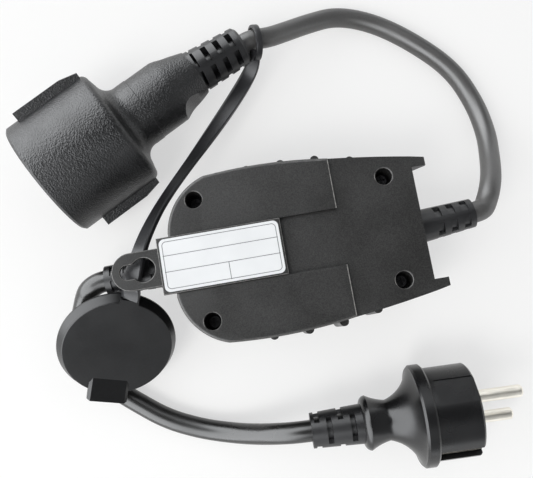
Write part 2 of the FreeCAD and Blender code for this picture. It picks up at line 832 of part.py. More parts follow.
def make_control_board():
    board = box(control_left_x, control_right_x, -control_half_width, control_half_width,
                control_board_z, control_top)
    board = board.fuse(box(control_right_x - 1, neck_right_x, -neck_half_width, neck_half_width,
                           control_board_z, control_top))
    for x, y in control_post_places():
        board = board.cut(cylinder(small_screw_radius + pass_play, (x, y, control_board_z - 1),
                                   (x, y, control_top + 1)))
    return board


def make_power_board():
    board = box(-power_half_length, power_half_length, -power_half_width, power_half_width,
                power_board_z, power_top)
    for x, y in power_post_places():
        board = board.cut(cylinder(small_screw_radius + pass_play, (x, y, power_board_z - 1),
                                   (x, y, power_top + 1)))
    return board


def make_board_screws():
    places = [(x, y, control_top) for x, y in control_post_places()]
    places += [(x, y, power_top) for x, y in power_post_places()]
    return [screw(x, y, z, small_screw_head_radius, small_screw_head_height, small_screw_radius,
                  small_screw_length) for x, y, z in places]


def block(place, size, z0):
    x, y = place
    return box(x - size[0] / 2, x + size[0] / 2, y - size[1] / 2, y + size[1] / 2, z0, z0 + size[2])


def make_terminal(sign):
    """Three-way terminal block, entered from the casing's end."""
    body = block((sign * terminal_x, 0), terminal_size, power_top)
    end = sign * (terminal_x + terminal_size[0] / 2)
    for i in (-1, 0, 1):
        y = i * terminal_pitch
        body = body.cut(cylinder(terminal_hole_radius, (end - sign * terminal_hole_depth, y, terminal_z),
                                 (end + sign, y, terminal_z)))
        x = sign * (terminal_x + 1)
        body = body.cut(cylinder(terminal_hole_radius, (x, y, power_top + terminal_size[2] - 1.5),
                                 (x, y, power_top + terminal_size[2] + 1)))
    return body


terminal_z = power_top + 6.0


def make_cores(sign):
    """Three insulated cores from a lead's end to its terminals."""
    cores = []
    inside = sign * (terminal_x + terminal_size[0] / 2 - terminal_hole_depth + 0.5)
    for i, dz in ((-1, -core_low_drop), (0, core_high_rise), (1, -core_low_drop)):
        y = i * terminal_pitch
        route = [(sign * sheath_end_x, i * core_spread, lead_z + dz),
                 (sign * (sheath_end_x - core_straight), i * core_spread, lead_z + dz),
                 (sign * (sheath_end_x - core_bend_run), y, terminal_z), (inside, y, terminal_z)]
        cores.append(tube(route, core_radius, "core"))
    return cores


def gland_place(sign, bend):
    """Where a gland's outer part starts, its X pointing out of the casing."""
    return Placement(Vector(sign * end_x, 0, lead_z), Rotation(UP, bend if sign > 0 else 180 + bend))


def make_sheath(sign, length, bend):
    radius = cord_radius - sheath_play
    body = cylinder(radius, (sign * sheath_end_x, 0, lead_z), (sign * end_x, 0, lead_z))
    body = body.fuse(Part.makeSphere(radius, Vector(sign * end_x, 0, lead_z)))
    return body.fuse(laid(cylinder(radius, (0, 0, 0), (length, 0, 0)), gland_place(sign, bend)))


def make_gland(sign, length, rows, bend):
    """Moulded bend relief whose groove sits in the casing's end wall; its outer part may be bent aside."""
    inner = -wall - gland_flange_thickness
    root = revolve([(inner, 0), (inner, gland_flange_radius), (-wall - gland_play, gland_flange_radius),
                    (-wall - gland_play, gland_neck_radius), (gland_play, gland_neck_radius), (gland_play, 0)])
    root = root.cut(cylinder(cord_radius + gland_play, (inner - 1, 0, 0), (1, 0, 0)))
    last = length - gland_tip_ring - gland_slot_width
    places = [(last - i * gland_slot_pitch, gland_slot_width) for i in range(rows)]
    relief = slotted([(-1, 0), (-1, gland_root_radius), (0, gland_root_radius), (length, gland_tip_radius),
                      (length, 0)], places, gland_slots, gland_slot_turn)
    relief.rotate(Vector(0, 0, 0), UP, bend)
    relief = relief.cut(box(-5, gland_play, -20, 20, -20, 20))
    return laid(root.fuse(relief), gland_place(sign, 0))


def make_clamp(sign):
    """Bar across the lead, screwed to the front shell's saddle."""
    x0 = sign * clamp_x - clamp_width / 2
    z0 = lead_z - cord_radius + 1.5
    z1 = lead_z + cord_radius + clamp_thickness
    bar = box(x0, x0 + clamp_width, -clamp_half_length, clamp_half_length, z0, z1)
    bar = bar.cut(cylinder(cord_radius + sheath_play, (x0 - 1, 0, lead_z), (x0 + clamp_width + 1, 0, lead_z)))
    bar = bar.cut(box(x0 - 1, x0 + clamp_width + 1, -cord_radius - sheath_play, cord_radius + sheath_play,
                      z0 - 1, lead_z))
    for y in (-clamp_screw_y, clamp_screw_y):
        bar = bar.cut(cylinder(small_screw_radius + pass_play, (sign * clamp_x, y, 0),
                               (sign * clamp_x, y, beyond)))
    return bar


def make_clamp_screws():
    seat = lead_z + cord_radius + clamp_thickness
    length = seat - (lead_z - cord_radius) + 3
    return [screw(sign * clamp_x, y, seat, small_screw_head_radius, small_screw_head_height,
                  small_screw_radius, length) for sign in (-1, 1) for y in (-clamp_screw_y, clamp_screw_y)]


# Coupling socket, modelled along X from its mouth and then laid in place
coupling_place = Placement(Vector(coupling_mouth[0], coupling_mouth[1], coupling_radius),
                           Rotation(UP, coupling_turn))


def make_wing(sign, start):
    """Flat wing along the barrel, lower towards its rear end."""
    low = sign * (coupling_radius - wing_root)
    high = sign * (coupling_radius + wing_proud)
    rear = sign * (coupling_radius + wing_end_proud)
    foot = -wing_width / 2
    outline = [Vector(start, low, foot), Vector(start, high, foot), Vector(wing_taper_start, high, foot),
               Vector(wing_end, rear, foot), Vector(wing_end, low, foot)]
    wing = Part.Face(Part.makePolygon(outline + [outline[0]])).extrude(Vector(0, 0, wing_width))
    wing.rotate(Vector(0, 0, 0), ALONG, wing_turn)
    return wing


def make_grip(sign):
    """Tool for the finger scoop on one side behind the neck."""
    centre_y = sign * (grip_half_width + grip_radius)
    tool = cylinder(grip_radius, (grip_centre, centre_y, -beyond), (grip_centre, centre_y, beyond))
    y0, y1 = sorted((sign * grip_half_width, sign * (grip_half_width + grip_radius)))
    return tool.fuse(box(grip_centre, coupling_body_length + 1, y0, y1, -beyond, beyond))


def make_coupling_body():
    r = coupling_radius
    neck = coupling_neck_radius
    grained = neck + coupling_neck_step
    points = [Vector(0, 0, 0), Vector(0, 0, r - 1.0), Vector(1.0, 0, r), Vector(coupling_barrel - 3, 0, r),
              Vector(coupling_barrel - 0.9, 0, r - 0.9), Vector(coupling_barrel, 0, r - 3.0)]
    edges = [Part.LineSegment(points[i], points[i + 1]).toShape() for i in range(3)]
    edges.append(Part.Arc(points[3], points[4], points[5]).toShape())
    knee = Vector(coupling_barrel + 0.8, 0, grained + 5.0)
    edges.append(Part.LineSegment(points[5], knee).toShape())
    foot = Vector(coupling_shoulder + 1, 0, grained)
    middle = Vector(coupling_barrel + 2.4, 0, grained + 1.5)
    edges.append(Part.Arc(knee, middle, foot).toShape())
    tail = Vector(coupling_body_length, 0, coupling_tail_radius)
    rear = [foot, Vector(coupling_grain_end, 0, grained), Vector(coupling_grain_end + coupling_neck_step, 0, neck),
            Vector(coupling_neck_end, 0, neck), Vector(coupling_neck_end + 2.4, 0, neck - 0.5), tail,
            Vector(coupling_body_length, 0, 0), points[0]]
    for first, second in zip(rear, rear[1:]):
        edges.append(Part.LineSegment(first, second).toShape())
    body = Part.Face(Part.Wire(edges)).revolve(Vector(0, 0, 0), ALONG, 360)
    for sign, start in zip((-1, 1), wing_starts):
        body = body.cut(make_grip(sign))
        body = body.fuse(make_wing(sign, start))
    body = body.cut(cylinder(insert_radius + sheath_play, (-1, 0, 0), (coupling_cavity, 0, 0)))
    body = body.cut(cylinder(cord_radius, (0, 0, 0), (coupling_body_length + 1, 0, 0)))
    return laid(body, coupling_place)


# The relief is bent aside at its root
relief_place = Placement(Vector(coupling_body_length, 0, 0), Rotation(UP, -relief_bend))


def make_coupling_relief():
    turned = relief_length - relief_tip_round
    profile = [(-1.5, 0), (-1.5, relief_root_radius), (0, relief_root_radius),
               (turned, relief_tip_radius), (relief_length, relief_tip_radius - relief_tip_round),
               (relief_length, 0)]
    body = slotted(profile, coupling_slot_rows, coupling_slots, coupling_slot_turn)
    body = laid(body, relief_place)
    body = body.cut(box(coupling_body_length - 5, coupling_body_length, -20, 20, -20, 20))
    return laid(body, coupling_place)


def make_coupling_sheath():
    radius = cord_radius - sheath_play
    body = cylinder(radius, (coupling_cavity + 6, 0, 0), (coupling_body_length, 0, 0))
    body = body.fuse(Part.makeSphere(radius, Vector(coupling_body_length, 0, 0)))
    body = body.fuse(laid(cylinder(radius, (0, 0, 0), (relief_length, 0, 0)), relief_place))
    return laid(body, coupling_place)


contact_reach = contact_spacing / 2


def make_coupling_insert():
    body = cylinder(insert_radius, (0.6, 0, 0), (insert_length, 0, 0))
    body = body.cut(cylinder(recess_radius, (-1, 0, 0), (recess_depth, 0, 0)))
    for sign in (-1, 1):
        y = sign * contact_reach
        body = body.cut(cylinder(contact_hole_radius, (recess_depth - 1, y, 0), (recess_depth + 3, y, 0)))
        body = body.cut(cylinder(contact_hole_radius + contact_wall + sheath_play, (recess_depth + 2.9, y, 0),
                                 (insert_length + 1, y, 0)))
        z0, z1 = sorted((sign * (recess_radius - 1.6), sign * (insert_radius + 1)))
        half = earth_clip_width / 2 + 0.2
        body = body.cut(box(2.0, insert_length + 1, -half, half, z0, z1))
    return laid(body, coupling_place)


def make_contacts():
    tubes = []
    for sign in (-1, 1):
        y = sign * contact_reach
        x0 = recess_depth + 3.1
        body = cylinder(contact_hole_radius + contact_wall, (x0, y, 0), (x0 + contact_length, y, 0))
        body = body.cut(cylinder(contact_hole_radius, (x0 - 1, y, 0), (x0 + contact_length - 2, y, 0)))
        slit = box(x0 - 1, x0 + contact_length - 4, y - 0.3, y + 0.3, 0, 8)
        tubes.append(laid(body.cut(slit), coupling_place))
    return tubes


def make_coupling_earth():
    clips = []
    for sign in (-1, 1):
        outer = sign * (insert_radius - 0.2)
        inner = sign * (insert_radius - 0.2 - earth_clip_thickness)
        z0, z1 = sorted((outer, inner))
        half = earth_clip_width / 2
        strip = box(3.0, insert_length - 0.2, -half, half, z0, z1)
        bump = sign * (recess_radius - 1.2)
        b0, b1 = sorted((bump, inner))
        strip = strip.fuse(box(7.0, 7.0 + earth_clip_length / 2, -half, half, b0, b1))
        clips.append(laid(strip, coupling_place))
    return clips


# Plug, modelled along X from its flange's rear face and then laid in place
plug_place = Placement(Vector(*plug_flange_centre, plug_flange_radius),
                       Rotation(UP, plug_turn).multiply(Rotation(Vector(0, 1, 0), plug_dip)).multiply(
                           Rotation(ALONG, plug_roll)))
plug_flange_rear = -plug_flange_thickness / 2
plug_tail_x = plug_flange_rear - plug_flare_length - plug_collar_length
plug_nose_x = plug_flange_thickness / 2 + plug_nose_length


def make_plug_body():
    rear = plug_flange_rear
    front = plug_flange_thickness / 2
    flange = plug_flange_radius
    waist_place = rear - plug_flare_length
    tail = Vector(plug_tail_x, 0, plug_relief_root_radius)
    waist = Vector(waist_place, 0, plug_waist_radius)
    edges = [Part.LineSegment(Vector(plug_tail_x, 0, 0), tail).toShape()]
    crest = Vector(plug_tail_x + plug_collar_place, 0, plug_collar_radius)
    brow = Vector(tail.x + plug_collar_place * 0.3, 0, plug_collar_radius - 0.9)
    slope = Vector((crest.x + waist.x) / 2, 0, (plug_collar_radius + plug_waist_radius) / 2 - 0.4)
    edges.append(Part.Arc(tail, brow, crest).toShape())
    edges.append(Part.Arc(crest, slope, waist).toShape())
    lip = Vector(rear, 0, flange - 1.4)
    edges.append(Part.Arc(waist, Vector(rear - 3.6, 0, plug_waist_radius + 4.4), lip).toShape())
    corners = [lip, Vector(rear, 0, flange - 0.8), Vector(rear + 0.8, 0, flange), Vector(front - 0.8, 0, flange),
               Vector(front, 0, flange - 0.8), Vector(front, 0, plug_nose_radius),
               Vector(plug_nose_x - 0.8, 0, plug_nose_radius), Vector(plug_nose_x, 0, plug_nose_radius - 0.8),
               Vector(plug_nose_x, 0, 0), Vector(plug_tail_x, 0, 0)]
    for first, second in zip(corners, corners[1:]):
        edges.append(Part.LineSegment(first, second).toShape())
    body = Part.Face(Part.Wire(edges)).revolve(Vector(0, 0, 0), ALONG, 360)
    for sign in (-1, 1):
        y0, y1 = sorted((sign * (plug_nose_radius - earth_notch_depth), sign * (plug_nose_radius + 5)))
        body = body.cut(box(front, plug_nose_x + 1, y0, y1, -earth_notch_half_width, earth_notch_half_width))
        z0, z1 = sorted((sign * (plug_nose_radius - guide_depth), sign * (plug_nose_radius + 5)))
        body = body.cut(box(front + guide_start, plug_nose_x + 1, -guide_half_width, guide_half_width, z0, z1))
    body = body.cut(cylinder(plug_core_radius, (plug_nose_x - plug_core_length, 0, 0), (plug_nose_x + 1, 0, 0)))
    body = body.cut(cylinder(cord_radius, (plug_tail_x - 1, 0, 0), (0, 0, 0)))
    return laid(body, plug_place)


def make_plug_relief():
    profile = [(0, 0), (0, plug_relief_root_radius), (plug_relief_length, plug_relief_tip_radius),
               (plug_relief_length, 0)]
    body = slotted(profile, plug_slot_rows, plug_slots, plug_slot_turn)
    body.Placement = Placement(Vector(plug_tail_x, 0, 0), Rotation(UP, 180))
    return laid(body, plug_place)


def make_plug_sheath():
    return laid(cylinder(cord_radius - sheath_play, (plug_tail_x - plug_relief_length, 0, 0), (-1, 0, 0)), plug_place)


plug_core_back = plug_nose_x - plug_core_length


def make_plug_bridge():
    """Hard core that carries the pins, let into the rubber nose."""
    body = cylinder(plug_core_radius - sheath_play, (plug_core_back, 0, 0), (plug_nose_x - 0.4, 0, 0))
    for sign in (-1, 1):
        z = sign * contact_reach
        body = body.cut(cylinder(plug_pin_shank_radius, (plug_nose_x - plug_pin_root, 0, z),
                                 (plug_nose_x + 1, 0, z)))
    return laid(body, plug_place)


def make_pins():
    pins = []
    for sign in (-1, 1):
        z = sign * contact_reach
        foot = plug_nose_x - 0.4
        tip = foot + plug_pin_length
        pin = cylinder(plug_pin_radius, (foot, 0, z), (tip, 0, z))
        rim = [e for e in pin.Edges if e.BoundBox.XMin > tip - 1e-6]
        pin = pin.makeFillet(plug_pin_radius * 0.6, rim)
        pin = pin.fuse(cylinder(plug_pin_shank_radius, (plug_nose_x - plug_pin_root, 0, z), (foot + 0.1, 0, z)))
        pins.append(laid(pin, plug_place))
    return pins


def make_plug_earth():
    strips = []
    floor = plug_nose_radius - earth_notch_depth
    for sign in (-1, 1):
        y0, y1 = sorted((sign * floor, sign * (floor + earth_strip_thickness)))
        half = earth_strip_width / 2
        strip = box(plug_flange_thickness / 2 + 0.2, plug_nose_x - 1.0, y0, y1, -half, half)
        strips.append(laid(strip, plug_place))
    return strips


def point_in(placement, x, y=0.0, z=0.0):
    p = placement.multVec(Vector(x, y, z))
    return (p.x, p.y, p.z)


# Cap
def lid_frame():
    """Placement whose Z is the lid's outward normal and whose X points to the strap."""
    tilt = math.radians(lid_tilt)
    lean = math.radians(lid_lean)
    normal = Vector(math.sin(tilt) * math.cos(lean), math.sin(tilt) * math.sin(lean), math.cos(tilt))
    heading = math.radians(lid_strap_heading)
    flat = Vector(math.cos(heading), math.sin(heading), 0)
    toward = (flat - UP * (normal.dot(flat) / normal.z)).normalize()
    across = normal.cross(toward)
    matrix = Matrix(toward.x, across.x, normal.x, 0, toward.y, across.y, normal.y, 0,
                    toward.z, across.z, normal.z, 0, 0, 0, 0, 1)
    return Placement(Vector(*lid_centre), Placement(matrix).Rotation)


lid_place = lid_frame()
lid_root = lid_radius + 1.0


def make_lid():
    """Round cap, hollow below, with a finger pull opposite its strap."""
    r = lid_radius
    bend = lid_edge_round
    edges = [Part.LineSegment(Vector(0, 0, 0), Vector(r - bend, 0, 0)).toShape(),
             Part.Arc(Vector(r - bend, 0, 0), Vector(r - bend * 0.2, 0, -bend * 0.3), Vector(r, 0, -bend)).toShape()]
    corners = [Vector(r, 0, -bend), Vector(lid_rim_radius, 0, lid_foot - lid_height),
               Vector(lid_rim_radius, 0, -lid_height), Vector(r - lid_wall, 0, -lid_height),
               Vector(r - lid_wall, 0, -lid_thickness), Vector(0, 0, -lid_thickness), Vector(0, 0, 0)]
    for first, second in zip(corners, corners[1:]):
        edges.append(Part.LineSegment(first, second).toShape())
    body = Part.Face(Part.Wire(edges)).revolve(Vector(0, 0, 0), UP, 360)
    # Wedge with its upper long edges bevelled
    half = pull_width / 2
    rise = math.radians(pull_turn)
    root_x = pull_inset - r
    tip_x = root_x - pull_length * math.cos(rise)
    tip_z = pull_length * math.sin(rise)
    side = [Vector(root_x, -half, -0.3), Vector(root_x, -half, 0), Vector(tip_x, -half, tip_z),
            Vector(tip_x, -half, tip_z - pull_tip), Vector(tip_x + pull_tip, -half, -0.3)]
    pull = Part.Face(Part.makePolygon(side + [side[0]])).extrude(Vector(0, pull_width, 0))
    long_edges = [e for e in pull.Edges if e.BoundBox.ZMin > -1e-3 and e.BoundBox.ZLength > tip_z - 0.1]
    body = body.fuse(pull.makeChamfer(pull_chamfer, long_edges))
    ear = box(r - 1.0, lid_root, -strap_width / 2, strap_width / 2, -strap_thickness, 0)
    return laid(body.fuse(ear), lid_place)


def strap_section(centre, ahead, width):
    """Flat rectangle across the strap at a point of its route."""
    ahead = Vector(ahead).normalize()
    side = ahead.cross(UP).normalize()
    top = side.cross(ahead)
    half = side * (width / 2)
    lift = top * (strap_thickness / 2)
    corners = [centre - half - lift, centre + half - lift, centre + half + lift, centre - half + lift]
    return Part.makePolygon(corners + [corners[0]])


def make_strap():
    root = Vector(*point_in(lid_place, lid_root + hinge_gap, 0, -strap_thickness / 2))
    outward = Vector(*point_in(lid_place, lid_root + strap_lead, 0, -strap_thickness / 2))
    points = [Vector(*p) for p in strap_route] + [outward, root]
    sections = []
    for i, point in enumerate(points):
        before = points[max(i - 1, 0)]
        after = points[min(i + 1, len(points) - 1)]
        share = min(1.0, i / (len(strap_route) - 1))
        width = strap_ring_width + (strap_width - strap_ring_width) * share
        sections.append(strap_section(point, after - before, width))
    strap = Part.makeLoft(sections, True, True)
    along = ring_heading()
    centre = ring_centre()
    half = along * (ring_width / 2)
    ring = Part.makeCylinder(ring_radius, ring_width, centre - half, along)
    root = centre - UP * (ring_radius - 1.0)
    ring = ring.fuse(Part.makeLoft([strap_section(points[0], points[1] - points[0], strap_ring_width),
                                    strap_section(root, points[1] - points[0], strap_ring_width)], True, True))
    ring = ring.cut(Part.makeCylinder(ring_bore_radius, ring_width + 30, centre - half - along * 15, along))
    return strap.fuse(ring)


coupling_tip = point_in(coupling_place.multiply(relief_place), relief_length)
coupling_lead = point_in(coupling_place.multiply(relief_place), relief_length + coupling_lead_run)


def ring_heading():
    return (Vector(*lead_out_route[-1]) - Vector(*coupling_lead)).normalize()


def ring_centre():
    start = Vector(*coupling_lead)
    aside = ring_heading().cross(UP).normalize()
    return start + ring_heading() * ring_offset - UP * ring_hang + aside * ring_pull


def main():
    os.makedirs("parts", exist_ok=True)
    save("rear_cover", make_rear_cover())
    save("front_shell", make_front_shell())
    save("casing_seal", seal_ring())
    save("casing_screws", [screw(x, y, screw_seat_height, screw_head_radius, screw_head_height,
                                 screw_shank_radius, screw_length) for x, y in case_screw_places])
    save("hanger_slide", make_hanger())
    save("rating_label", make_label())
    save("display_cover", make_cover())
    save("cover_hinge_pin", make_hinge_pin())
    save("display_window", make_window())
    save("lcd_panel", make_lcd())
    save("lcd_frame", make_lcd_frame())
    for name, x in zip(button_names, button_xs):
        save(name, make_button(x))
    save("button_mat", make_mat())
    window = cylinder(sensor_radius, (sensor_x, 0, 0.3), (sensor_x, 0, wall + 0.8))
    window = window.fuse(cylinder(sensor_radius + sensor_flange, (sensor_x, 0, wall), (sensor_x, 0, wall + 0.8)))
    save("sensor_window", window)
    cell = cylinder(sensor_cell_radius, (sensor_x, 0, wall + 1.6), (sensor_x, 0, control_board_z))
    save("light_sensor", cell)
    lamp = cylinder(lamp_radius, (sensor_x, lamp_y, 0.3), (sensor_x, lamp_y, control_board_z))
    save("status_lamp", lamp)
    save("control_board", make_control_board())
    save("power_board", make_power_board())
    save("board_screws", make_board_screws())
    save("relay", block(relay_place, relay_size, power_top))
    save("mains_capacitor", block(capacitor_place, capacitor_size, power_top))
    x, y = electrolytic_place
    save("smoothing_capacitor", cylinder(electrolytic_radius, (x, y, power_top), (x, y, power_top + electrolytic_height)))
    x, y = varistor_place
    z = power_top + varistor_radius
    half = varistor_thickness / 2
    save("varistor", cylinder(varistor_radius, (x - half, y, z), (x + half, y, z)))
    x, y = fuse_place
    half = fuse_length / 2
    z = power_top + fuse_radius
    save("fuse", cylinder(fuse_radius, (x - half, y, z), (x + half, y, z)))
    x, y = battery_place
    save("backup_battery", cylinder(battery_radius, (x, y, control_top), (x, y, control_top + battery_height)))
    save("board_link", block(link_place, link_size + (power_board_z - control_top,), control_top))
    save("terminal_in", make_terminal(-1))
    save("terminal_out", make_terminal(1))
    save("inner_cores", make_cores(-1) + make_cores(1))
    save("cord_clamps", [make_clamp(-1), make_clamp(1)])
    save("clamp_screws", make_clamp_screws())
    save("gland_in", make_gland(-1, gland_in_length, 4, 0))
    save("gland_out", make_gland(1, gland_out_length, 3, gland_out_bend))
    save("sheath_ends", [make_sheath(-1, gland_in_length, 0), make_sheath(1, gland_out_length, gland_out_bend),
                         make_coupling_sheath(), make_plug_sheath()])
    save("coupling_body", make_coupling_body())
    save("coupling_bend_relief", make_coupling_relief())
    save("coupling_insert", make_coupling_insert())
    save("coupling_contacts", make_contacts())
    save("coupling_earth_clips", make_coupling_earth())
    save("plug_body", make_plug_body())
    save("plug_bend_relief", make_plug_relief())
    save("plug_bridge", make_plug_bridge())
    save("plug_pins", make_pins())
    save("plug_earth_contacts", make_plug_earth())
    save("cap_lid", make_lid())
    save("cap_strap", make_strap())
    ports = []
    for sign, length, bend in ((1, gland_out_length, gland_out_bend), (-1, gland_in_length, 0)):
        place = gland_place(sign, bend)
        ports.append([point_in(place, length), point_in(place, length + gland_lead_run)])
    out_route = ports[0] + lead_out_route + [coupling_lead, coupling_tip]
    save("lead_out", tube(out_route, cord_radius, "lead_out"))
    plug_lead = point_in(plug_place, plug_tail_x - plug_relief_length - plug_lead_run)
    plug_tip = point_in(plug_place, plug_tail_x - plug_relief_length)
    in_route = ports[1] + lead_in_route + [plug_lead, plug_tip]
    save("lead_in", tube(in_route, cord_radius, "lead_in"))


main()
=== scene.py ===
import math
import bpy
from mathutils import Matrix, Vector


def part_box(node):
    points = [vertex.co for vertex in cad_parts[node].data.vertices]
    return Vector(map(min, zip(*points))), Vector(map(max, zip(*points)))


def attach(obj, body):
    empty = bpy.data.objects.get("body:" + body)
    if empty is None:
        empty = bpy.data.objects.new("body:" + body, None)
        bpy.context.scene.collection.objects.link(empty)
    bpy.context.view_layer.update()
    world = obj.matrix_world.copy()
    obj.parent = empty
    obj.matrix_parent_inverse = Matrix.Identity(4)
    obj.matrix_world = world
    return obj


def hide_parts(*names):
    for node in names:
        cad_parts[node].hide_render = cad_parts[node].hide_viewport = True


bl_info = {
    "name": "In-line Outdoor Timer",
    "version": (1, 0, 0),
    "blender": (4, 5, 0),
    "location": "View3D > Sidebar > Timer",
    "description": "Dresses the in-line timer, its two leads, its plug and its capped coupling",
    "category": "Object",
}

import bpy
from bpy.props import FloatProperty, FloatVectorProperty, IntProperty, PointerProperty
from mathutils import Matrix, Vector

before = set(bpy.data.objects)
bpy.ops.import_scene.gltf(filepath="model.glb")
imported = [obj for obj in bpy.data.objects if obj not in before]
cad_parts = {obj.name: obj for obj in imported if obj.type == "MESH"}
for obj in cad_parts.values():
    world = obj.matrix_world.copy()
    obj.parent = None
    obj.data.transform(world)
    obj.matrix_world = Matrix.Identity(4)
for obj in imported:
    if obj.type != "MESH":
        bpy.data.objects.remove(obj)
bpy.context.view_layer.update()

MM = 0.001

# The routes below are in millimetres from the casing's middle, which the frame puts here
casing_half_length = 47.5
casing_middle_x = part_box("rear_cover")[0][0] + casing_half_length * MM

# Free lead from the casing to the coupling
lead_out_route = [
    (69.914, 1.961, 31.0), (72.504, 2.188, 31.0), (75.5, 3.1, 29.8), (77.8, 6.0, 28.1), (80.4, 10.5, 27.0),
    (84.1, 17.1, 22.2), (87.8, 26.2, 15.0), (91.1, 38.2, 8.2), (90.4, 53.9, 4.25), (83.8, 70.9, 4.25),
    (69.4, 86.4, 4.25), (53.4, 98.7, 4.25), (37.0, 103.8, 6.6), (23.1, 99.7, 12.4), (11.8, 94.9, 18.4),
    (3.5, 91.2, 23.6), (-3.249, 90.983, 25.3), (-7.51, 89.249, 25.3),
]
lead_out_length = 0.193

# Free lead from the casing to the plug
lead_in_route = [
    (-75.4, 0.0, 31.0), (-78.0, 0.0, 31.0), (-82.5, -1.8, 30.5), (-85.2, -3.9, 27.5), (-88.5, -9.7, 23.6),
    (-92.5, -15.0, 16.9), (-94.2, -22.4, 12.1), (-92.3, -34.3, 4.25), (-85.7, -41.8, 4.25),
    (-76.6, -49.4, 4.25), (-64.7, -58.6, 4.25), (-50.8, -65.0, 4.25), (-38.8, -68.3, 6.6),
    (-29.3, -69.8, 11.4), (-20.8, -70.3, 16.8), (-12.57, -70.709, 20.318), (-6.574, -70.908, 20.256),
]
lead_in_length = 0.152

# Cap's strap, from its ring on the lead to the lid: a point, the turn of its section and its share of
# the full width
strap_route = [
    ((-2.4, 85.6, 26.0), 0.0, 0.62), ((-3.6, 83.0, 19.4), 0.0, 0.8), ((-7.9, 78.0, 15.2), 0.0, 0.9),
    ((-16.4, 67.9, 15.6), 6.0, 0.9), ((-27.0, 56.0, 17.4), 20.0, 0.88), ((-38.7, 43.0, 20.4), 38.0, 0.84),
    ((-49.3, 28.9, 28.4), 44.0, 0.9), ((-55.2, 18.2, 36.0), 42.0, 1.0), ((-59.6, 9.0, 40.4), 34.0, 1.0),
    ((-62.8, 0.6, 41.0), 20.0, 1.0), ((-65.2, -4.8, 39.4), 6.0, 1.0), ((-65.859, -7.542, 36.181), 0.0, 1.0),
    ((-66.681, -9.001, 35.282), 0.0, 1.0),
]

# How far the strap's ring sits from the lead's last but one point: along the lead, aside and down, in
# millimetres. Then the rounding of its edges, in metres
ring_ahead = 1.4
ring_aside = 1.2
ring_drop = 1.0
ring_rounding = 0.0004

# Rubber bodies: points closer than this, in metres, are merged, and edges up to this many degrees shade
# smooth
merge_distance = 0.000002
smooth_angle = 32.0

# Label's rows and column, as shares of its width and its length, and the height of its ink in metres
first_row_share = 0.68
second_row_share = 0.375
column_share = 0.55
ink_height = 0.00002

# Rubber finishes: shade of the fittings' colour, roughness, width and depth of the grain in metres,
# contrast of its shades, and specular level
rubber_finishes = {
    "smooth_rubber": (0.9, 0.3, 0.0012, 0.00002, 0.1, 0.55),
    "relief_rubber": (1.5, 0.38, 0.0006, 0.00003, 0.15, 0.6),
    "lid_rubber": (0.8, 0.34, 0.0011, 0.00003, 0.3, 0.5),
    "strap_rubber": (3.2, 0.38, 0.0007, 0.00003, 0.15, 0.5),
}

# Camera over the table, worked out for the photograph's 533 by 478 frame. The nadir is the spot straight
# below it, and the roll runs in degrees from the picture's rows to the casing's long axis
image_width = 533.0
image_middle = (266.5, 239.0)
focal_px = 660.0
sensor_width = 36.0
nadir_px = (277.5, 332.0)
picture_roll = 9.72

# Camera's place, in millimetres from the casing's middle and over the table
camera_spot = (-13.13, -30.82)
camera_height = 288.0

# Table's side in metres
table_size = 6.0

# What shiny surfaces see of the sky, with heights as sines of the angle up. The window fades out over this
# height above its top. It is full where the cosine to its direction reaches the spread, and this rest of it
# is left behind. The glow over the table begins at the first height and is full at the second
window_fade = 0.08
window_spread = 0.5
window_rest = 0.05
glow_heights = (0.3, 0.08)


def to_frame(point):
    """Point in the frame, in metres, of one in millimetres from the casing's middle."""
    return Vector((casing_middle_x + point[0] * MM, point[1] * MM, point[2] * MM))


class CasingSettings(bpy.types.PropertyGroup):
    colour: FloatVectorProperty(name="Colour", description="Colour of the moulded casing", subtype="COLOR",
                                size=3, min=0.0, max=1.0, default=(0.019, 0.0186, 0.018))
    # Colour of the painted highlight on the bevelled edges, standing in for light catching them
    edge_highlight_colour: FloatVectorProperty(name="Edge colour", description="Colour of rubbed edges",
                                     subtype="COLOR", size=3, min=0.0, max=1.0, default=(0.42, 0.41, 0.39))
    grain: FloatProperty(name="Grain", description="Width of the moulding's grain", subtype="DISTANCE",
                         min=0.0001, max=0.002, default=0.0004)


class RubberSettings(bpy.types.PropertyGroup):
    colour: FloatVectorProperty(name="Colour", description="Colour of plug, coupling and bend reliefs",
                                subtype="COLOR", size=3, min=0.0, max=1.0, default=(0.0055, 0.0055, 0.006))
    grain: FloatProperty(name="Grain", description="Width of the rubber's grain", subtype="DISTANCE",
                         min=0.0001, max=0.002, default=0.0007)


class LeadSettings(bpy.types.PropertyGroup):
    diameter: FloatProperty(name="Diameter", description="Outer diameter of both leads", subtype="DISTANCE",
                            min=0.004, max=0.014, default=0.0084)
    sides: IntProperty(name="Roundness", description="Quarter steps round a lead", min=2, max=12, default=8)
    colour: FloatVectorProperty(name="Colour", description="Colour of the sheath", subtype="COLOR",
                                size=3, min=0.0, max=1.0, default=(0.016, 0.0155, 0.015))


class StrapSettings(bpy.types.PropertyGroup):
    width: FloatProperty(name="Width", description="Width of the cap's strap", subtype="DISTANCE",
                         min=0.002, max=0.012, default=0.0072)
    thickness: FloatProperty(name="Thickness", description="Thickness of the cap's strap",
                             subtype="DISTANCE", min=0.0008, max=0.004, default=0.0019)
    ring_radius: FloatProperty(name="Ring radius", description="Outer radius of the strap's ring",
                               subtype="DISTANCE", min=0.005, max=0.012, default=0.0074)
    ring_width: FloatProperty(name="Ring width", description="Width of the ring's band",
                              subtype="DISTANCE", min=0.001, max=0.006, default=0.0028)
    ring_wall: FloatProperty(name="Ring wall", description="Thickness of the ring's band",
                             subtype="DISTANCE", min=0.0005, max=0.003, default=0.0013)


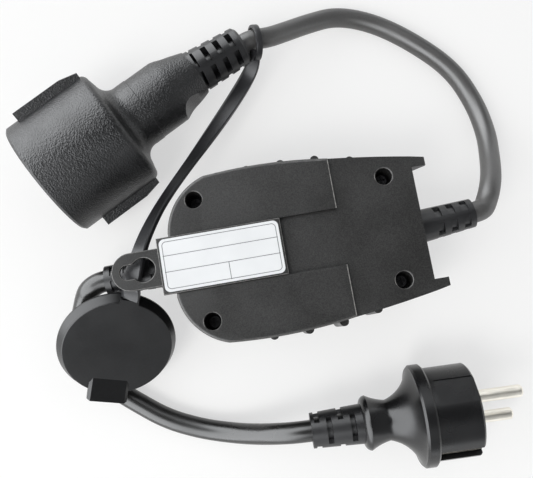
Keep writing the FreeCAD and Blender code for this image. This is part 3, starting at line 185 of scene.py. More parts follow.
class LabelSettings(bpy.types.PropertyGroup):
    line: FloatProperty(name="Line", description="Width of the label's ruled lines", subtype="DISTANCE",
                        min=0.0001, max=0.001, default=0.00024)
    inset: FloatProperty(name="Inset", description="From the label's edge to its ruled border",
                         subtype="DISTANCE", min=0.0004, max=0.003, default=0.001)
    corner: FloatProperty(name="Corner", description="Radius of the ruled border's corners",
                          subtype="DISTANCE", min=0.0005, max=0.004, default=0.0016)


class StudioSettings(bpy.types.PropertyGroup):
    floor_colour: FloatVectorProperty(name="Floor", description="Colour of the table", subtype="COLOR",
                                      size=3, min=0.0, max=1.0, default=(0.95, 0.943, 0.93))
    paper_white: FloatProperty(name="Table white", description="Share of plain white that the camera sees",
                               subtype="FACTOR", min=0.0, max=0.9, default=0.55)
    sky: FloatProperty(name="Sky", description="Strength of the light from all round", min=0.0, max=2.0,
                       default=0.6)
    gloss_sky: FloatProperty(name="Sky in gloss", description="Strength of the sky in shiny surfaces",
                             min=0.0, max=2.0, default=0.1)
    gloss_window: FloatProperty(name="Window in gloss", description="Strength of a window in shiny surfaces",
                                min=0.0, max=8.0, default=5.2)
    horizon: FloatProperty(name="Horizon", description="Share of the window's strength just over the table",
                           subtype="FACTOR", min=0.0, max=1.0, default=0.35)
    window_top: FloatProperty(name="Window top", description="Sine of the angle up to the window's top",
                              min=0.1, max=0.9, default=0.86)
    window_side: FloatVectorProperty(name="Window side", description="Direction of the window", size=3,
                                     default=(-0.95, 0.15, 0.3))
    window: FloatProperty(name="Window lamp", description="Power of the large lamp at the left, in watts",
                          min=0.0, max=40.0, default=3.2)
    key: FloatProperty(name="Key lamp", description="Power of the small high lamp, in watts", min=0.0,
                       max=20.0, default=4.0)


# Modelling helpers
def start_clean():
    """Object mode with nothing selected."""
    if bpy.context.mode != "OBJECT":
        bpy.ops.object.mode_set(mode="OBJECT")
    bpy.ops.object.select_all(action="DESELECT")


def select_only(*objects):
    start_clean()
    for piece in objects:
        piece.select_set(True)
    bpy.context.view_layer.objects.active = objects[0]


def bake_place(piece):
    """Moves the piece's place into its mesh."""
    select_only(piece)
    bpy.ops.object.transform_apply(location=True, rotation=True, scale=True)


def join_pieces(name, parts):
    select_only(*parts)
    bpy.ops.object.join()
    piece = bpy.context.view_layer.objects.active
    piece.name = name
    piece.data.name = name
    return piece


def apply_modifiers(piece):
    select_only(piece)
    for modifier in list(piece.modifiers):
        bpy.ops.object.modifier_apply(modifier=modifier.name)


def smooth(piece, degrees):
    select_only(piece)
    bpy.ops.object.shade_smooth_by_angle(angle=math.radians(degrees))


def wear(piece, material):
    piece.data.materials.clear()
    piece.data.materials.append(material)


# Material helpers
def principled(material):
    return material.node_tree.nodes["Principled BSDF"]


def new_material(name, colour, roughness, metallic=0.0, specular=0.5):
    """Material with the same colour, roughness and shine all over."""
    material = bpy.data.materials.new(name)
    material.use_nodes = True
    shader = principled(material)
    shader.inputs["Base Color"].default_value = (*colour, 1.0)
    shader.inputs["Roughness"].default_value = roughness
    shader.inputs["Metallic"].default_value = metallic
    shader.inputs["Specular IOR Level"].default_value = specular
    return material


def add_node(holder, kind, **values):
    """New node in a material or the world, with values for its inputs or its own settings."""
    node = holder.node_tree.nodes.new(kind)
    for name, value in values.items():
        if name in node.inputs:
            node.inputs[name].default_value = value
        else:
            setattr(node, name, value)
    return node


def link(holder, value, socket):
    """Joins another node's output to a socket, or gives the socket a plain value."""
    if isinstance(value, bpy.types.NodeSocket):
        holder.node_tree.links.new(value, socket)
    else:
        socket.default_value = value


def add_noise(material, width, detail=2.0, stretch=(1.0, 1.0, 1.0)):
    """Noise whose features are about width metres across, in the piece's own coordinates."""
    place = add_node(material, "ShaderNodeTexCoord")
    mapping = add_node(material, "ShaderNodeMapping")
    mapping.inputs["Scale"].default_value = stretch
    noise = add_node(material, "ShaderNodeTexNoise", Scale=1.0 / width, Detail=detail, Roughness=0.55)
    link(material, place.outputs["Object"], mapping.inputs["Vector"])
    link(material, mapping.outputs["Vector"], noise.inputs["Vector"])
    return noise.outputs["Fac"]


def add_range(holder, value, low, high, new_low=0.0, new_high=1.0, shape="LINEAR"):
    ranged = add_node(holder, "ShaderNodeMapRange", interpolation_type=shape)
    ranged.inputs["From Min"].default_value = low
    ranged.inputs["From Max"].default_value = high
    ranged.inputs["To Min"].default_value = new_low
    ranged.inputs["To Max"].default_value = new_high
    link(holder, value, ranged.inputs["Value"])
    return ranged.outputs["Result"]


def add_math(holder, operation, first, second):
    node = add_node(holder, "ShaderNodeMath", operation=operation)
    link(holder, first, node.inputs[0])
    link(holder, second, node.inputs[1])
    return node.outputs["Value"]


def add_mix(holder, share, first, second, kind="RGBA"):
    """Mix of two colours, or of two numbers where kind is VALUE."""
    mix = add_node(holder, "ShaderNodeMix", data_type="FLOAT" if kind == "VALUE" else kind)
    sides = [socket for socket in mix.inputs if socket.name in {"A", "B"} and socket.type == kind]
    link(holder, share, mix.inputs["Factor"])
    link(holder, first, sides[0])
    link(holder, second, sides[1])
    return [socket for socket in mix.outputs if socket.type == kind][0]


def add_rays(holder, kinds):
    """Value that is 1 for any of these kinds of ray."""
    path = add_node(holder, "ShaderNodeLightPath")
    found = path.outputs[kinds[0]]
    for kind in kinds[1:]:
        found = add_math(holder, "MAXIMUM", found, path.outputs[kind])
    return found


def add_tint(material, value, dark, light):
    """Base colour between two colours, by a value from 0 to 1."""
    tint = add_mix(material, value, (*dark, 1.0), (*light, 1.0))
    link(material, tint, principled(material).inputs["Base Color"])


def add_bumps(material, layers):
    """Bump nodes in a row: each layer is a value, its depth in metres and its strength."""
    before = None
    for value, depth, strength in layers:
        bump = add_node(material, "ShaderNodeBump", Strength=strength, Distance=depth)
        link(material, value, bump.inputs["Height"])
        if before is not None:
            link(material, before, bump.inputs["Normal"])
        before = bump.outputs["Normal"]
    link(material, before, principled(material).inputs["Normal"])


def scaled(colour, factor):
    return tuple(min(1.0, channel * factor) for channel in colour)


def grained(name, colour, roughness, grain, depth, contrast, specular=0.5):
    """Moulded surface: fine grain in height and gloss, with faint broad changes of shade."""
    material = new_material(name, colour, roughness, specular=specular)
    fine = add_noise(material, grain, detail=3.0)
    broad = add_noise(material, 0.02)
    shade = add_range(material, fine, 0.3, 0.7)
    add_tint(material, shade, scaled(colour, 1.0 - contrast), scaled(colour, 1.0 + contrast))
    gloss = add_range(material, broad, 0.35, 0.65, roughness - 0.05, roughness + 0.05)
    link(material, gloss, principled(material).inputs["Roughness"])
    add_bumps(material, [(fine, depth, 0.6), (broad, depth * 4, 0.25)])
    return material


def paint_edge_highlight(material, colour, least):
    """Painted highlight on edges that lean between level and upright, fullest on those facing along X."""
    base_colour = principled(material).inputs["Base Color"]
    plain = base_colour.links[0].from_socket
    surface = add_node(material, "ShaderNodeNewGeometry")
    axes = add_node(material, "ShaderNodeSeparateXYZ")
    link(material, surface.outputs["Normal"], axes.inputs["Vector"])
    # Leaning surfaces, those that face along X, and noise patches that make the painted highlight uneven
    rising = add_range(material, axes.outputs["Z"], 0.4, 0.6)
    falling = add_range(material, axes.outputs["Z"], 0.95, 0.85)
    ahead = add_range(material, axes.outputs["X"], 0.6, 0.7, least, 1.0)
    patchy_highlight = add_range(material, add_noise(material, 0.0016), 0.35, 0.6, 0.45, 1.0)
    mask = rising
    for part in (falling, ahead, patchy_highlight):
        mask = add_math(material, "MULTIPLY", mask, part)
    link(material, add_mix(material, mask, plain, (*colour, 1.0)), base_colour)
    return material


def casing_plastic():
    settings = bpy.context.scene.timer_casing
    material = grained("casing_plastic", settings.colour, roughness=0.4, grain=settings.grain,
                       depth=0.00008, contrast=0.75)
    # Painted highlight on the casing's bevelled edges, mostly on those facing along X
    return paint_edge_highlight(material, settings.edge_highlight_colour, least=0.15)


def hanger_plastic():
    settings = bpy.context.scene.timer_casing
    material = grained("hanger_plastic", settings.colour, roughness=0.38, grain=settings.grain * 1.1,
                       depth=0.00008, contrast=0.75)
    # Painted highlight on the hanger's edges, also on those not facing along X
    return paint_edge_highlight(material, settings.edge_highlight_colour, least=0.55)


def moulded_rubber():
    """Rubber with a coarse leathery grain, whose crests catch the light."""
    settings = bpy.context.scene.timer_rubber
    material = new_material("moulded_rubber", settings.colour, 0.4, specular=0.7)
    place = add_node(material, "ShaderNodeTexCoord")
    cells = add_node(material, "ShaderNodeTexVoronoi", Scale=1.0 / settings.grain, feature="F1")
    link(material, place.outputs["Object"], cells.inputs["Vector"])
    fine = add_noise(material, settings.grain * 0.6)
    broad = add_noise(material, 0.014)
    crests = add_range(material, cells.outputs["Distance"], 0.1, 0.7, 1.0, 0.0)
    add_tint(material, crests, scaled(settings.colour, 0.5), scaled(settings.colour, 2.0))
    gloss = add_range(material, broad, 0.35, 0.65, 0.34, 0.46)
    link(material, gloss, principled(material).inputs["Roughness"])
    add_bumps(material, [(crests, 0.00014, 0.7), (fine, 0.00006, 0.5)])
    return material


def plain_rubber(name):
    """Rubber with a fine grain, in the fittings' colour times a shade."""
    shade, roughness, grain, depth, contrast, specular = rubber_finishes[name]
    colour = scaled(bpy.context.scene.timer_rubber.colour, shade)
    return grained(name, colour, roughness, grain, depth, contrast, specular=specular)


def lead_sheath(name, shade, roughness, specular):
    settings = bpy.context.scene.timer_lead
    return grained(name, scaled(settings.colour, shade), roughness, grain=0.0007, depth=0.00002,
                   contrast=0.15, specular=specular)


def label_film():
    material = new_material("label_film", (0.86, 0.87, 0.88), 0.3)
    broad = add_noise(material, 0.012)
    add_tint(material, add_range(material, broad, 0.35, 0.65), (0.84, 0.85, 0.86), (0.88, 0.89, 0.9))
    add_bumps(material, [(broad, 0.00002, 0.3)])
    return material


def label_ink():
    material = new_material("label_ink", (0.16, 0.16, 0.17), 0.5)
    fine = add_noise(material, 0.0004)
    add_tint(material, add_range(material, fine, 0.35, 0.65), (0.12, 0.12, 0.13), (0.24, 0.24, 0.25))
    return material


def plated_metal(name, colour, roughness):
    """Plated metal with fine drawing marks along its length."""
    material = new_material(name, colour, roughness, metallic=1.0)
    marks = add_noise(material, 0.0004, detail=3.0, stretch=(0.1, 1.0, 1.0))
    broad = add_noise(material, 0.006)
    gloss = add_range(material, marks, 0.3, 0.7, roughness - 0.06, roughness + 0.08)
    link(material, gloss, principled(material).inputs["Roughness"])
    add_tint(material, add_range(material, broad, 0.3, 0.7), scaled(colour, 0.92), scaled(colour, 1.05))
    add_bumps(material, [(marks, 0.00001, 0.3)])
    return material


def plain_moulding(name, colour, roughness):
    """Smooth moulded plastic or resin with a slight change of shade."""
    material = new_material(name, colour, roughness)
    fine = add_noise(material, 0.0006)
    add_tint(material, add_range(material, fine, 0.3, 0.7), scaled(colour, 0.93), scaled(colour, 1.06))
    add_bumps(material, [(fine, 0.00002, 0.3)])
    return material


def clear_plastic(name, roughness):
    """Clear plastic with the faintest ripple."""
    material = new_material(name, (0.93, 0.95, 0.96), roughness)
    shader = principled(material)
    shader.inputs["Transmission Weight"].default_value = 0.9
    shader.inputs["IOR"].default_value = 1.49
    ripple = add_noise(material, 0.004)
    add_bumps(material, [(ripple, 0.00002, 0.2)])
    return material


def circuit_board():
    """Green solder mask with the fine relief of its tracks."""
    material = new_material("circuit_board", (0.02, 0.13, 0.045), 0.35)
    place = add_node(material, "ShaderNodeTexCoord")
    tracks = add_node(material, "ShaderNodeTexBrick", Scale=260.0)
    tracks.inputs["Color1"].default_value = (0.02, 0.13, 0.045, 1.0)
    tracks.inputs["Color2"].default_value = (0.022, 0.15, 0.05, 1.0)
    tracks.inputs["Mortar"].default_value = (0.04, 0.24, 0.08, 1.0)
    tracks.inputs["Mortar Size"].default_value = 0.03
    link(material, place.outputs["Object"], tracks.inputs["Vector"])
    link(material, tracks.outputs["Color"], principled(material).inputs["Base Color"])
    add_bumps(material, [(tracks.outputs["Fac"], 0.00003, 0.4)])
    return material


def core_insulation():
    """Brown, blue and green-yellow cores, told apart across the casing."""
    material = new_material("core_insulation", (0.2, 0.1, 0.05), 0.45)
    place = add_node(material, "ShaderNodeTexCoord")
    split = add_node(material, "ShaderNodeSeparateXYZ")
    link(material, place.outputs["Object"], split.inputs["Vector"])
    across = add_range(material, split.outputs["Y"], -0.005, 0.005)
    ramp = add_node(material, "ShaderNodeValToRGB")
    ramp.color_ramp.interpolation = "CONSTANT"
    ramp.color_ramp.elements[0].color = (0.16, 0.06, 0.03, 1.0)
    ramp.color_ramp.elements[1].position = 0.36
    ramp.color_ramp.elements[1].color = (0.25, 0.4, 0.03, 1.0)
    blue = ramp.color_ramp.elements.new(0.64)
    blue.color = (0.03, 0.1, 0.45, 1.0)
    link(material, across, ramp.inputs["Fac"])
    link(material, ramp.outputs["Color"], principled(material).inputs["Base Color"])
    return material


def smooth_copy(node, name, body, material):
    """Copy of a rubber node's mesh with its points merged, so its soft curves shade without creases."""
    piece = bpy.data.objects.new(name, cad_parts[node].data.copy())
    piece.data.name = name
    bpy.context.scene.collection.objects.link(piece)
    select_only(piece)
    bpy.ops.object.mode_set(mode="EDIT")
    bpy.ops.mesh.select_all(action="SELECT")
    bpy.ops.mesh.remove_doubles(threshold=merge_distance)
    bpy.ops.mesh.customdata_custom_splitnormals_clear()
    bpy.ops.object.mode_set(mode="OBJECT")
    smooth(piece, smooth_angle)
    wear(piece, material)
    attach(piece, body)
    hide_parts(node)


def finish_nodes(finishes):
    """Gives each CAD node its material, made once for all the nodes that share it."""
    for material, nodes in finishes:
        for node in nodes:
            wear(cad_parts[node], material)


class TIMER_OT_casing(bpy.types.Operator):
    """Finish the casing, its screws and its sliding hanger"""
    bl_idname = "timer.casing"
    bl_label = "Casing"

    def execute(self, context):
        finish_nodes([
            (casing_plastic(), ["rear_cover", "front_shell"]),
            (hanger_plastic(), ["hanger_slide"]),
            (plated_metal("black_zinc", (0.05, 0.05, 0.052), 0.34), ["casing_screws"]),
            (plain_moulding("seal_rubber", (0.03, 0.03, 0.03), 0.6), ["casing_seal"]),
        ])
        return {"FINISHED"}


class TIMER_OT_display(bpy.types.Operator):
    """Finish the display side: its cover, its window, its buttons and what looks out of it"""
    bl_idname = "timer.display"
    bl_label = "Display Side"

    def execute(self, context):
        finish_nodes([
            (clear_plastic("smoked_cover", 0.08), ["display_cover"]),
            (clear_plastic("window_clear", 0.04), ["display_window", "sensor_window"]),
            (plated_metal("hinge_steel", (0.5, 0.5, 0.51), 0.3), ["cover_hinge_pin"]),
            (plain_moulding("lcd_glass", (0.3, 0.34, 0.27), 0.2), ["lcd_panel"]),
            (plain_moulding("white_plastic", (0.72, 0.72, 0.69), 0.45), ["lcd_frame"]),
            (plain_moulding("button_grey", (0.2, 0.21, 0.22), 0.5),
             ["clock_button", "day_button", "hour_button", "minute_button"]),
            (plain_moulding("button_red", (0.45, 0.03, 0.02), 0.45), ["manual_button"]),
            (plain_moulding("silicone", (0.42, 0.42, 0.42), 0.6), ["button_mat"]),
            (plain_moulding("sensor_resin", (0.4, 0.2, 0.08), 0.25), ["light_sensor"]),
            (plain_moulding("lamp_green", (0.05, 0.42, 0.07), 0.2), ["status_lamp"]),
        ])
        return {"FINISHED"}


class TIMER_OT_inside(bpy.types.Operator):
    """Finish the boards, the parts on them, the terminals and the cord clamps"""
    bl_idname = "timer.inside"
    bl_label = "Inside"

    def execute(self, context):
        finish_nodes([
            (circuit_board(), ["control_board", "power_board"]),
            (plated_metal("board_zinc", (0.55, 0.54, 0.5), 0.32), ["board_screws", "clamp_screws"]),
            (plain_moulding("relay_black", (0.02, 0.02, 0.02), 0.3), ["relay", "board_link"]),
            (plain_moulding("capacitor_yellow", (0.55, 0.36, 0.03), 0.35), ["mains_capacitor"]),
            (plain_moulding("capacitor_sleeve", (0.02, 0.03, 0.09), 0.3), ["smoothing_capacitor"]),
            (plain_moulding("varistor_blue", (0.03, 0.1, 0.4), 0.3), ["varistor"]),
            (plain_moulding("fuse_ceramic", (0.72, 0.69, 0.62), 0.4), ["fuse"]),
            (plated_metal("battery_nickel", (0.66, 0.64, 0.6), 0.3), ["backup_battery"]),
            (plain_moulding("terminal_white", (0.68, 0.68, 0.66), 0.45),
             ["terminal_in", "terminal_out", "cord_clamps"]),
            (core_insulation(), ["inner_cores"]),
        ])
        return {"FINISHED"}


class TIMER_OT_fittings(bpy.types.Operator):
    """Finish the plug, the coupling, the bend reliefs and the cap's lid"""
    bl_idname = "timer.fittings"
    bl_label = "Plug and Coupling"

    def execute(self, context):
        finish_nodes([
            (plain_rubber("relief_rubber"),
             ["coupling_bend_relief", "plug_bend_relief", "gland_in", "gland_out"]),
            (plain_rubber("lid_rubber"), ["cap_lid"]),
            (plain_moulding("insert_plastic", (0.02, 0.02, 0.02), 0.4), ["coupling_insert", "plug_bridge"]),
            (plated_metal("pin_nickel", (0.92, 0.88, 0.79), 0.34), ["plug_pins"]),
            (plated_metal("strip_nickel", (0.66, 0.63, 0.56), 0.3),
             ["plug_earth_contacts", "coupling_earth_clips"]),
            (plated_metal("contact_brass", (0.62, 0.45, 0.17), 0.3), ["coupling_contacts"]),
            (lead_sheath("sheath_end", shade=1.0, roughness=0.4, specular=0.6), ["sheath_ends"]),
        ])
        smooth_copy("coupling_body", "coupling_rubber", "casing", moulded_rubber())
        smooth_copy("plug_body", "plug_rubber", "casing",
                    plain_rubber("smooth_rubber"))
        return {"FINISHED"}


def lead_curve(name, route, settings):
    """Round cord along a route, on one smooth spline."""
    curve = bpy.data.curves.new(name, "CURVE")
    curve.dimensions = "3D"
    spline = curve.splines.new("NURBS")
    spline.points.add(len(route) - 1)
    for knot, point in zip(spline.points, route):
        knot.co = (*to_frame(point), 1.0)
    spline.order_u = 3
    spline.use_endpoint_u = True
    spline.use_smooth = True
    curve.resolution_u = 14
    curve.bevel_depth = settings.diameter / 2
    curve.bevel_resolution = settings.sides
    curve.use_fill_caps = True
    piece = bpy.data.objects.new(name, curve)
    bpy.context.scene.collection.objects.link(piece)
    return piece


class TIMER_OT_leads(bpy.types.Operator):
    """Lay the two free leads"""
    bl_idname = "timer.leads"
    bl_label = "Leads"

    def execute(self, context):
        settings = context.scene.timer_lead
        # One sheath for both leads: the long lead's copy is lightened as painted light, the short lead's
        # darkened as painted shade
        sheath_painted_light = lead_sheath("long_lead_sheath_painted_light", shade=3.2, roughness=0.4, specular=1.0)
        sheath_painted_shade = lead_sheath("short_lead_sheath_painted_shade", shade=0.6, roughness=0.3, specular=0.75)
        strap = bpy.data.objects["cap_strap_rubber"]
        coupling = [bpy.data.objects["coupling_rubber"], "coupling_bend_relief", "coupling_insert",
                    "coupling_contacts", "coupling_earth_clips", "gland_out", "cap_lid", "sheath_ends", strap]
        plug = [bpy.data.objects["plug_rubber"], "plug_bend_relief", "plug_bridge", "plug_pins",
                "plug_earth_contacts", "gland_in"]
        leads = [
            ("coupling_lead", "lead_out", lead_out_route, lead_out_length,
             "connector", coupling, sheath_painted_light),
            ("plug_lead", "lead_in", lead_in_route, lead_in_length,
             "plug", plug, sheath_painted_shade),
        ]
        for name, node, route, length, end, fittings, sheath in leads:
            piece = lead_curve(name, route, settings)
            wear(piece, sheath)
            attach(piece, "casing")
            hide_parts(node)
        return {"FINISHED"}


def strap_band(settings):
    """Flat band with a bevelled edge, swept along the strap's route and turned as it runs."""
    half = settings.width / 2
    thick = settings.thickness / 2
    wide_bevel = settings.width * 0.17
    small_bevel = wide_bevel * 0.35
    outline = [(-half, -thick), (half, -thick), (half, -thick * 0.1), (half - wide_bevel, thick),
               (-half + small_bevel, thick), (-half, thick * 0.55)]
    section = bpy.data.curves.new("strap_section", "CURVE")
    section.dimensions = "2D"
    rim = section.splines.new("POLY")
    rim.points.add(len(outline) - 1)
    for knot, (x, y) in zip(rim.points, outline):
        knot.co = (x, y, 0.0, 1.0)
    rim.use_cyclic_u = True
    section_object = bpy.data.objects.new("strap_section", section)
    bpy.context.scene.collection.objects.link(section_object)
    path = bpy.data.curves.new("strap_path", "CURVE")
    path.dimensions = "3D"
    path.twist_mode = "Z_UP"
    spline = path.splines.new("NURBS")
    spline.points.add(len(strap_route) - 1)
    for knot, (point, turn, share) in zip(spline.points, strap_route):
        knot.co = (*to_frame(point), 1.0)
        knot.tilt = math.radians(turn)
        knot.radius = share
    spline.order_u = 3
    spline.use_endpoint_u = True
    path.resolution_u = 10
    path.bevel_mode = "OBJECT"
    path.bevel_object = section_object
    path.use_fill_caps = True
    band = bpy.data.objects.new("strap_band", path)
    bpy.context.scene.collection.objects.link(band)
    select_only(band)
    bpy.ops.object.convert(target="MESH")
    bpy.data.objects.remove(section_object)
    return band


def strap_ring(settings):
    """Band round the lead that carries the strap."""
    lead_end = to_frame(lead_out_route[-2])
    heading = (to_frame(lead_out_route[-3]) - lead_end).normalized()
    aside = heading.cross(Vector((0.0, 0.0, 1.0))).normalized()
    centre = lead_end + heading * ring_ahead * MM + aside * ring_aside * MM
    centre -= Vector((0.0, 0.0, ring_drop * MM))
    start_clean()
    bpy.ops.mesh.primitive_cylinder_add(vertices=64, radius=settings.ring_radius - settings.ring_wall,
                                        depth=settings.ring_width, end_fill_type="NOTHING",
                                        location=centre, rotation=heading.to_track_quat("Z", "Y").to_euler())
    ring = bpy.context.object
    bake_place(ring)
    wall = ring.modifiers.new("wall", "SOLIDIFY")
    wall.thickness = settings.ring_wall
    wall.offset = 1.0
    rounding = ring.modifiers.new("rounding", "BEVEL")
    rounding.width = ring_rounding
    rounding.segments = 2
    apply_modifiers(ring)
    return ring


class TIMER_OT_strap(bpy.types.Operator):
    """Model the cap's strap with its ring"""
    bl_idname = "timer.strap"
    bl_label = "Cap Strap"

    def execute(self, context):
        settings = context.scene.timer_strap
        strap = join_pieces("cap_strap_rubber", [strap_band(settings), strap_ring(settings)])
        smooth(strap, 40.0)
        wear(strap, plain_rubber("strap_rubber"))
        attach(strap, "casing")
        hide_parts("cap_strap")
        return {"FINISHED"}


def ruled_line(start, end, top, line):
    """Thin raised strip from one point of the label to another, along X or Y."""
    middle = ((start[0] + end[0]) / 2, (start[1] + end[1]) / 2, top)
    start_clean()
    bpy.ops.mesh.primitive_plane_add(size=1.0, location=middle)
    strip = bpy.context.object
    strip.scale = (abs(end[0] - start[0]) + line, abs(end[1] - start[1]) + line, 1.0)
    bake_place(strip)
    return strip


def ruled_border(low, high, top, corner, line):
    """Rounded rectangular ring of ink."""
    start_clean()
    bpy.ops.mesh.primitive_plane_add(size=1.0, location=((low[0] + high[0]) / 2, (low[1] + high[1]) / 2, top))
    border = bpy.context.object
    border.scale = (high[0] - low[0], high[1] - low[1], 1.0)
    bake_place(border)
    bpy.ops.object.mode_set(mode="EDIT")
    bpy.ops.mesh.select_all(action="SELECT")
    bpy.ops.mesh.bevel(offset=corner, segments=8, affect="VERTICES")
    bpy.ops.mesh.select_all(action="SELECT")
    bpy.ops.mesh.inset(thickness=line, depth=0.0)
    bpy.ops.mesh.delete(type="FACE")
    bpy.ops.object.mode_set(mode="OBJECT")
    return border


class TIMER_OT_label(bpy.types.Operator):
    """Finish the label and rule its border and its fields, which stay empty"""
    bl_idname = "timer.label"
    bl_label = "Label"

    def execute(self, context):
        settings = context.scene.timer_label
        wear(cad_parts["rating_label"], label_film())
        low, high = (Vector(corner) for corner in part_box("rating_label"))
        inset = settings.inset
        line = settings.line
        top = high.z + ink_height
        left, right = low.x + inset, high.x - inset
        bottom, upper = low.y + inset, high.y - inset
        first_row = low.y + (high.y - low.y) * first_row_share
        second_row = low.y + (high.y - low.y) * second_row_share
        column = low.x + (high.x - low.x) * column_share
        parts = [
            ruled_border((left, bottom), (right, upper), top, settings.corner, line),
            ruled_line((left, first_row), (right, first_row), top, line),
            ruled_line((left, second_row), (right, second_row), top, line),
            ruled_line((column, bottom), (column, second_row), top, line),
        ]
        rules = join_pieces("label_rules", parts)
        raised = rules.modifiers.new("raised", "SOLIDIFY")
        raised.thickness = ink_height
        raised.offset = 1.0
        apply_modifiers(rules)
        wear(rules, label_ink())
        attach(rules, "hanger")
        return {"FINISHED"}


def camera_axes():
    """Right, up and backward directions of the camera in the frame."""
    down = Vector(((nadir_px[0] - image_middle[0]) / focal_px,
                   (nadir_px[1] - image_middle[1]) / focal_px, 1.0)).normalized()
    level = Vector((1.0, 0.0, 0.0))
    level = (level - down * level.dot(down)).normalized()
    away = -down.cross(level)
    roll = math.radians(picture_roll)
    long_axis = level * math.cos(roll) + away * math.sin(roll)
    cross_axis = away * math.cos(roll) - level * math.sin(roll)
    rows = [Vector((long_axis[i], cross_axis[i], -down[i])) for i in range(3)]
    return rows[0], -rows[1], -rows[2]


def add_floor(settings):
    """Pale table. The camera, and whatever shines or is clear, sees it partly as plain white."""
    start_clean()
    bpy.ops.mesh.primitive_plane_add(size=table_size, location=(0.0, 0.0, 0.0))
    floor = bpy.context.object
    floor.name = "table"
    material = new_material("table_white", settings.floor_colour, 0.7, specular=0.1)
    seen = add_rays(material, ("Is Camera Ray", "Is Glossy Ray", "Is Transmission Ray"))
    share = add_math(material, "MULTIPLY", seen, settings.paper_white)
    white = add_node(material, "ShaderNodeEmission")
    shown = add_node(material, "ShaderNodeMixShader")
    link(material, share, shown.inputs[0])
    link(material, principled(material).outputs["BSDF"], shown.inputs[1])
    link(material, white.outputs["Emission"], shown.inputs[2])
    link(material, shown.outputs["Shader"], material.node_tree.nodes["Material Output"].inputs["Surface"])
    wear(floor, material)


def add_sky(settings):
    """Even light from all round. Shiny surfaces see a window at the left, a faint glow and a dark ceiling."""
    world = bpy.data.worlds.new("studio")
    bpy.context.scene.world = world
    world.use_nodes = True
    background = world.node_tree.nodes["Background"]
    background.inputs["Color"].default_value = (0.96, 0.98, 1.0, 1.0)
    direction = add_node(world, "ShaderNodeTexCoord").outputs["Generated"]
    axes = add_node(world, "ShaderNodeSeparateXYZ")
    link(world, direction, axes.inputs["Vector"])
    height = axes.outputs["Z"]
    side = add_node(world, "ShaderNodeVectorMath", operation="DOT_PRODUCT")
    link(world, direction, side.inputs[0])
    link(world, settings.window_side, side.inputs[1])
    window_top = settings.window_top
    lowered = add_range(world, height, window_top + window_fade, window_top, shape="SMOOTHSTEP")
    facing = add_range(world, side.outputs["Value"], 0.0, window_spread, window_rest, 1.0, "SMOOTHSTEP")
    window = add_math(world, "MULTIPLY", lowered, facing)
    glow = add_range(world, height, *glow_heights, 0.0, settings.horizon, "SMOOTHSTEP")
    brightest = add_math(world, "MAXIMUM", window, glow)
    reflected = add_range(world, brightest, 0.0, 1.0, settings.gloss_sky, settings.gloss_window)
    lit = add_mix(world, add_rays(world, ("Is Glossy Ray",)), settings.sky, reflected, "VALUE")
    seen = add_rays(world, ("Is Camera Ray", "Is Transmission Ray"))
    link(world, add_mix(world, seen, lit, 1.0, "VALUE"), background.inputs["Strength"])


def add_lamp(name, power, size, place, colour):
    """Oblong lamp that points at the casing. What shines in the surfaces is the sky's windows."""
    data = bpy.data.lights.new(name, "AREA")
    data.shape = "RECTANGLE"
    data.size = size[0]
    data.size_y = size[1]
    data.energy = power
    data.color = colour
    lamp = bpy.data.objects.new(name, data)
    lamp.location = place
    lamp.rotation_euler = (-place).to_track_quat("-Z", "Y").to_euler()
    lamp.visible_glossy = False
    bpy.context.scene.collection.objects.link(lamp)


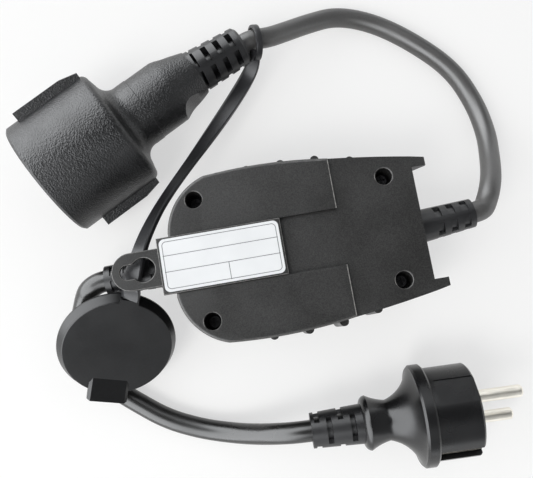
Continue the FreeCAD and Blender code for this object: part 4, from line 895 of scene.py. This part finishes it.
class TIMER_OT_stage(bpy.types.Operator):
    """Set the table, the lamps, the sky and the camera"""
    bl_idname = "timer.stage"
    bl_label = "Stage"

    def execute(self, context):
        settings = context.scene.timer_studio
        add_floor(settings)
        add_sky(settings)
        add_lamp("window_lamp", settings.window, size=(1.0, 0.5), place=Vector((-0.78, -0.1, 0.5)),
                 colour=(0.95, 0.98, 1.0))
        add_lamp("key_lamp", settings.key, size=(0.4, 0.4), place=Vector((-0.45, -0.4, 0.9)),
                 colour=(1.0, 0.99, 0.97))
        data = bpy.data.cameras.new("camera")
        data.sensor_width = sensor_width
        data.lens = data.sensor_width * focal_px / image_width
        data.clip_start = 0.01
        camera = bpy.data.objects.new("camera", data)
        right, up, back = camera_axes()
        turn = Matrix((right, up, back)).transposed().to_4x4()
        camera.matrix_world = Matrix.Translation(to_frame((*camera_spot, camera_height))) @ turn
        context.scene.collection.objects.link(camera)
        context.scene.camera = camera
        context.scene.view_settings.view_transform = "Standard"
        return {"FINISHED"}


class TIMER_PT_panel(bpy.types.Panel):
    """Buttons for each group of pieces, in the order they are made"""
    bl_label = "In-line Timer"
    bl_idname = "TIMER_PT_panel"
    bl_space_type = "VIEW_3D"
    bl_region_type = "UI"
    bl_category = "Timer"

    def draw(self, context):
        for operator in OPERATORS:
            self.layout.operator(operator.bl_idname)
        for name in SETTINGS:
            box = self.layout.box()
            group = getattr(context.scene, name)
            for field in group.bl_rna.properties:
                if field.identifier not in {"rna_type", "name"}:
                    box.prop(group, field.identifier)


SETTINGS = {
    "timer_casing": CasingSettings,
    "timer_rubber": RubberSettings,
    "timer_lead": LeadSettings,
    "timer_strap": StrapSettings,
    "timer_label": LabelSettings,
    "timer_studio": StudioSettings,
}

OPERATORS = (TIMER_OT_stage, TIMER_OT_fittings, TIMER_OT_strap, TIMER_OT_leads, TIMER_OT_casing,
             TIMER_OT_display, TIMER_OT_inside, TIMER_OT_label)


def register():
    for group in SETTINGS.values():
        bpy.utils.register_class(group)
    for operator in OPERATORS:
        bpy.utils.register_class(operator)
    bpy.utils.register_class(TIMER_PT_panel)
    for name, group in SETTINGS.items():
        setattr(bpy.types.Scene, name, PointerProperty(type=group))


def unregister():
    for name in SETTINGS:
        delattr(bpy.types.Scene, name)
    bpy.utils.unregister_class(TIMER_PT_panel)
    for operator in reversed(OPERATORS):
        bpy.utils.unregister_class(operator)
    for group in reversed(list(SETTINGS.values())):
        bpy.utils.unregister_class(group)


def main():
    register()
    for operator in OPERATORS:
        category, name = operator.bl_idname.split(".")
        getattr(getattr(bpy.ops, category), name)()


if __name__ == "__main__":
    main()
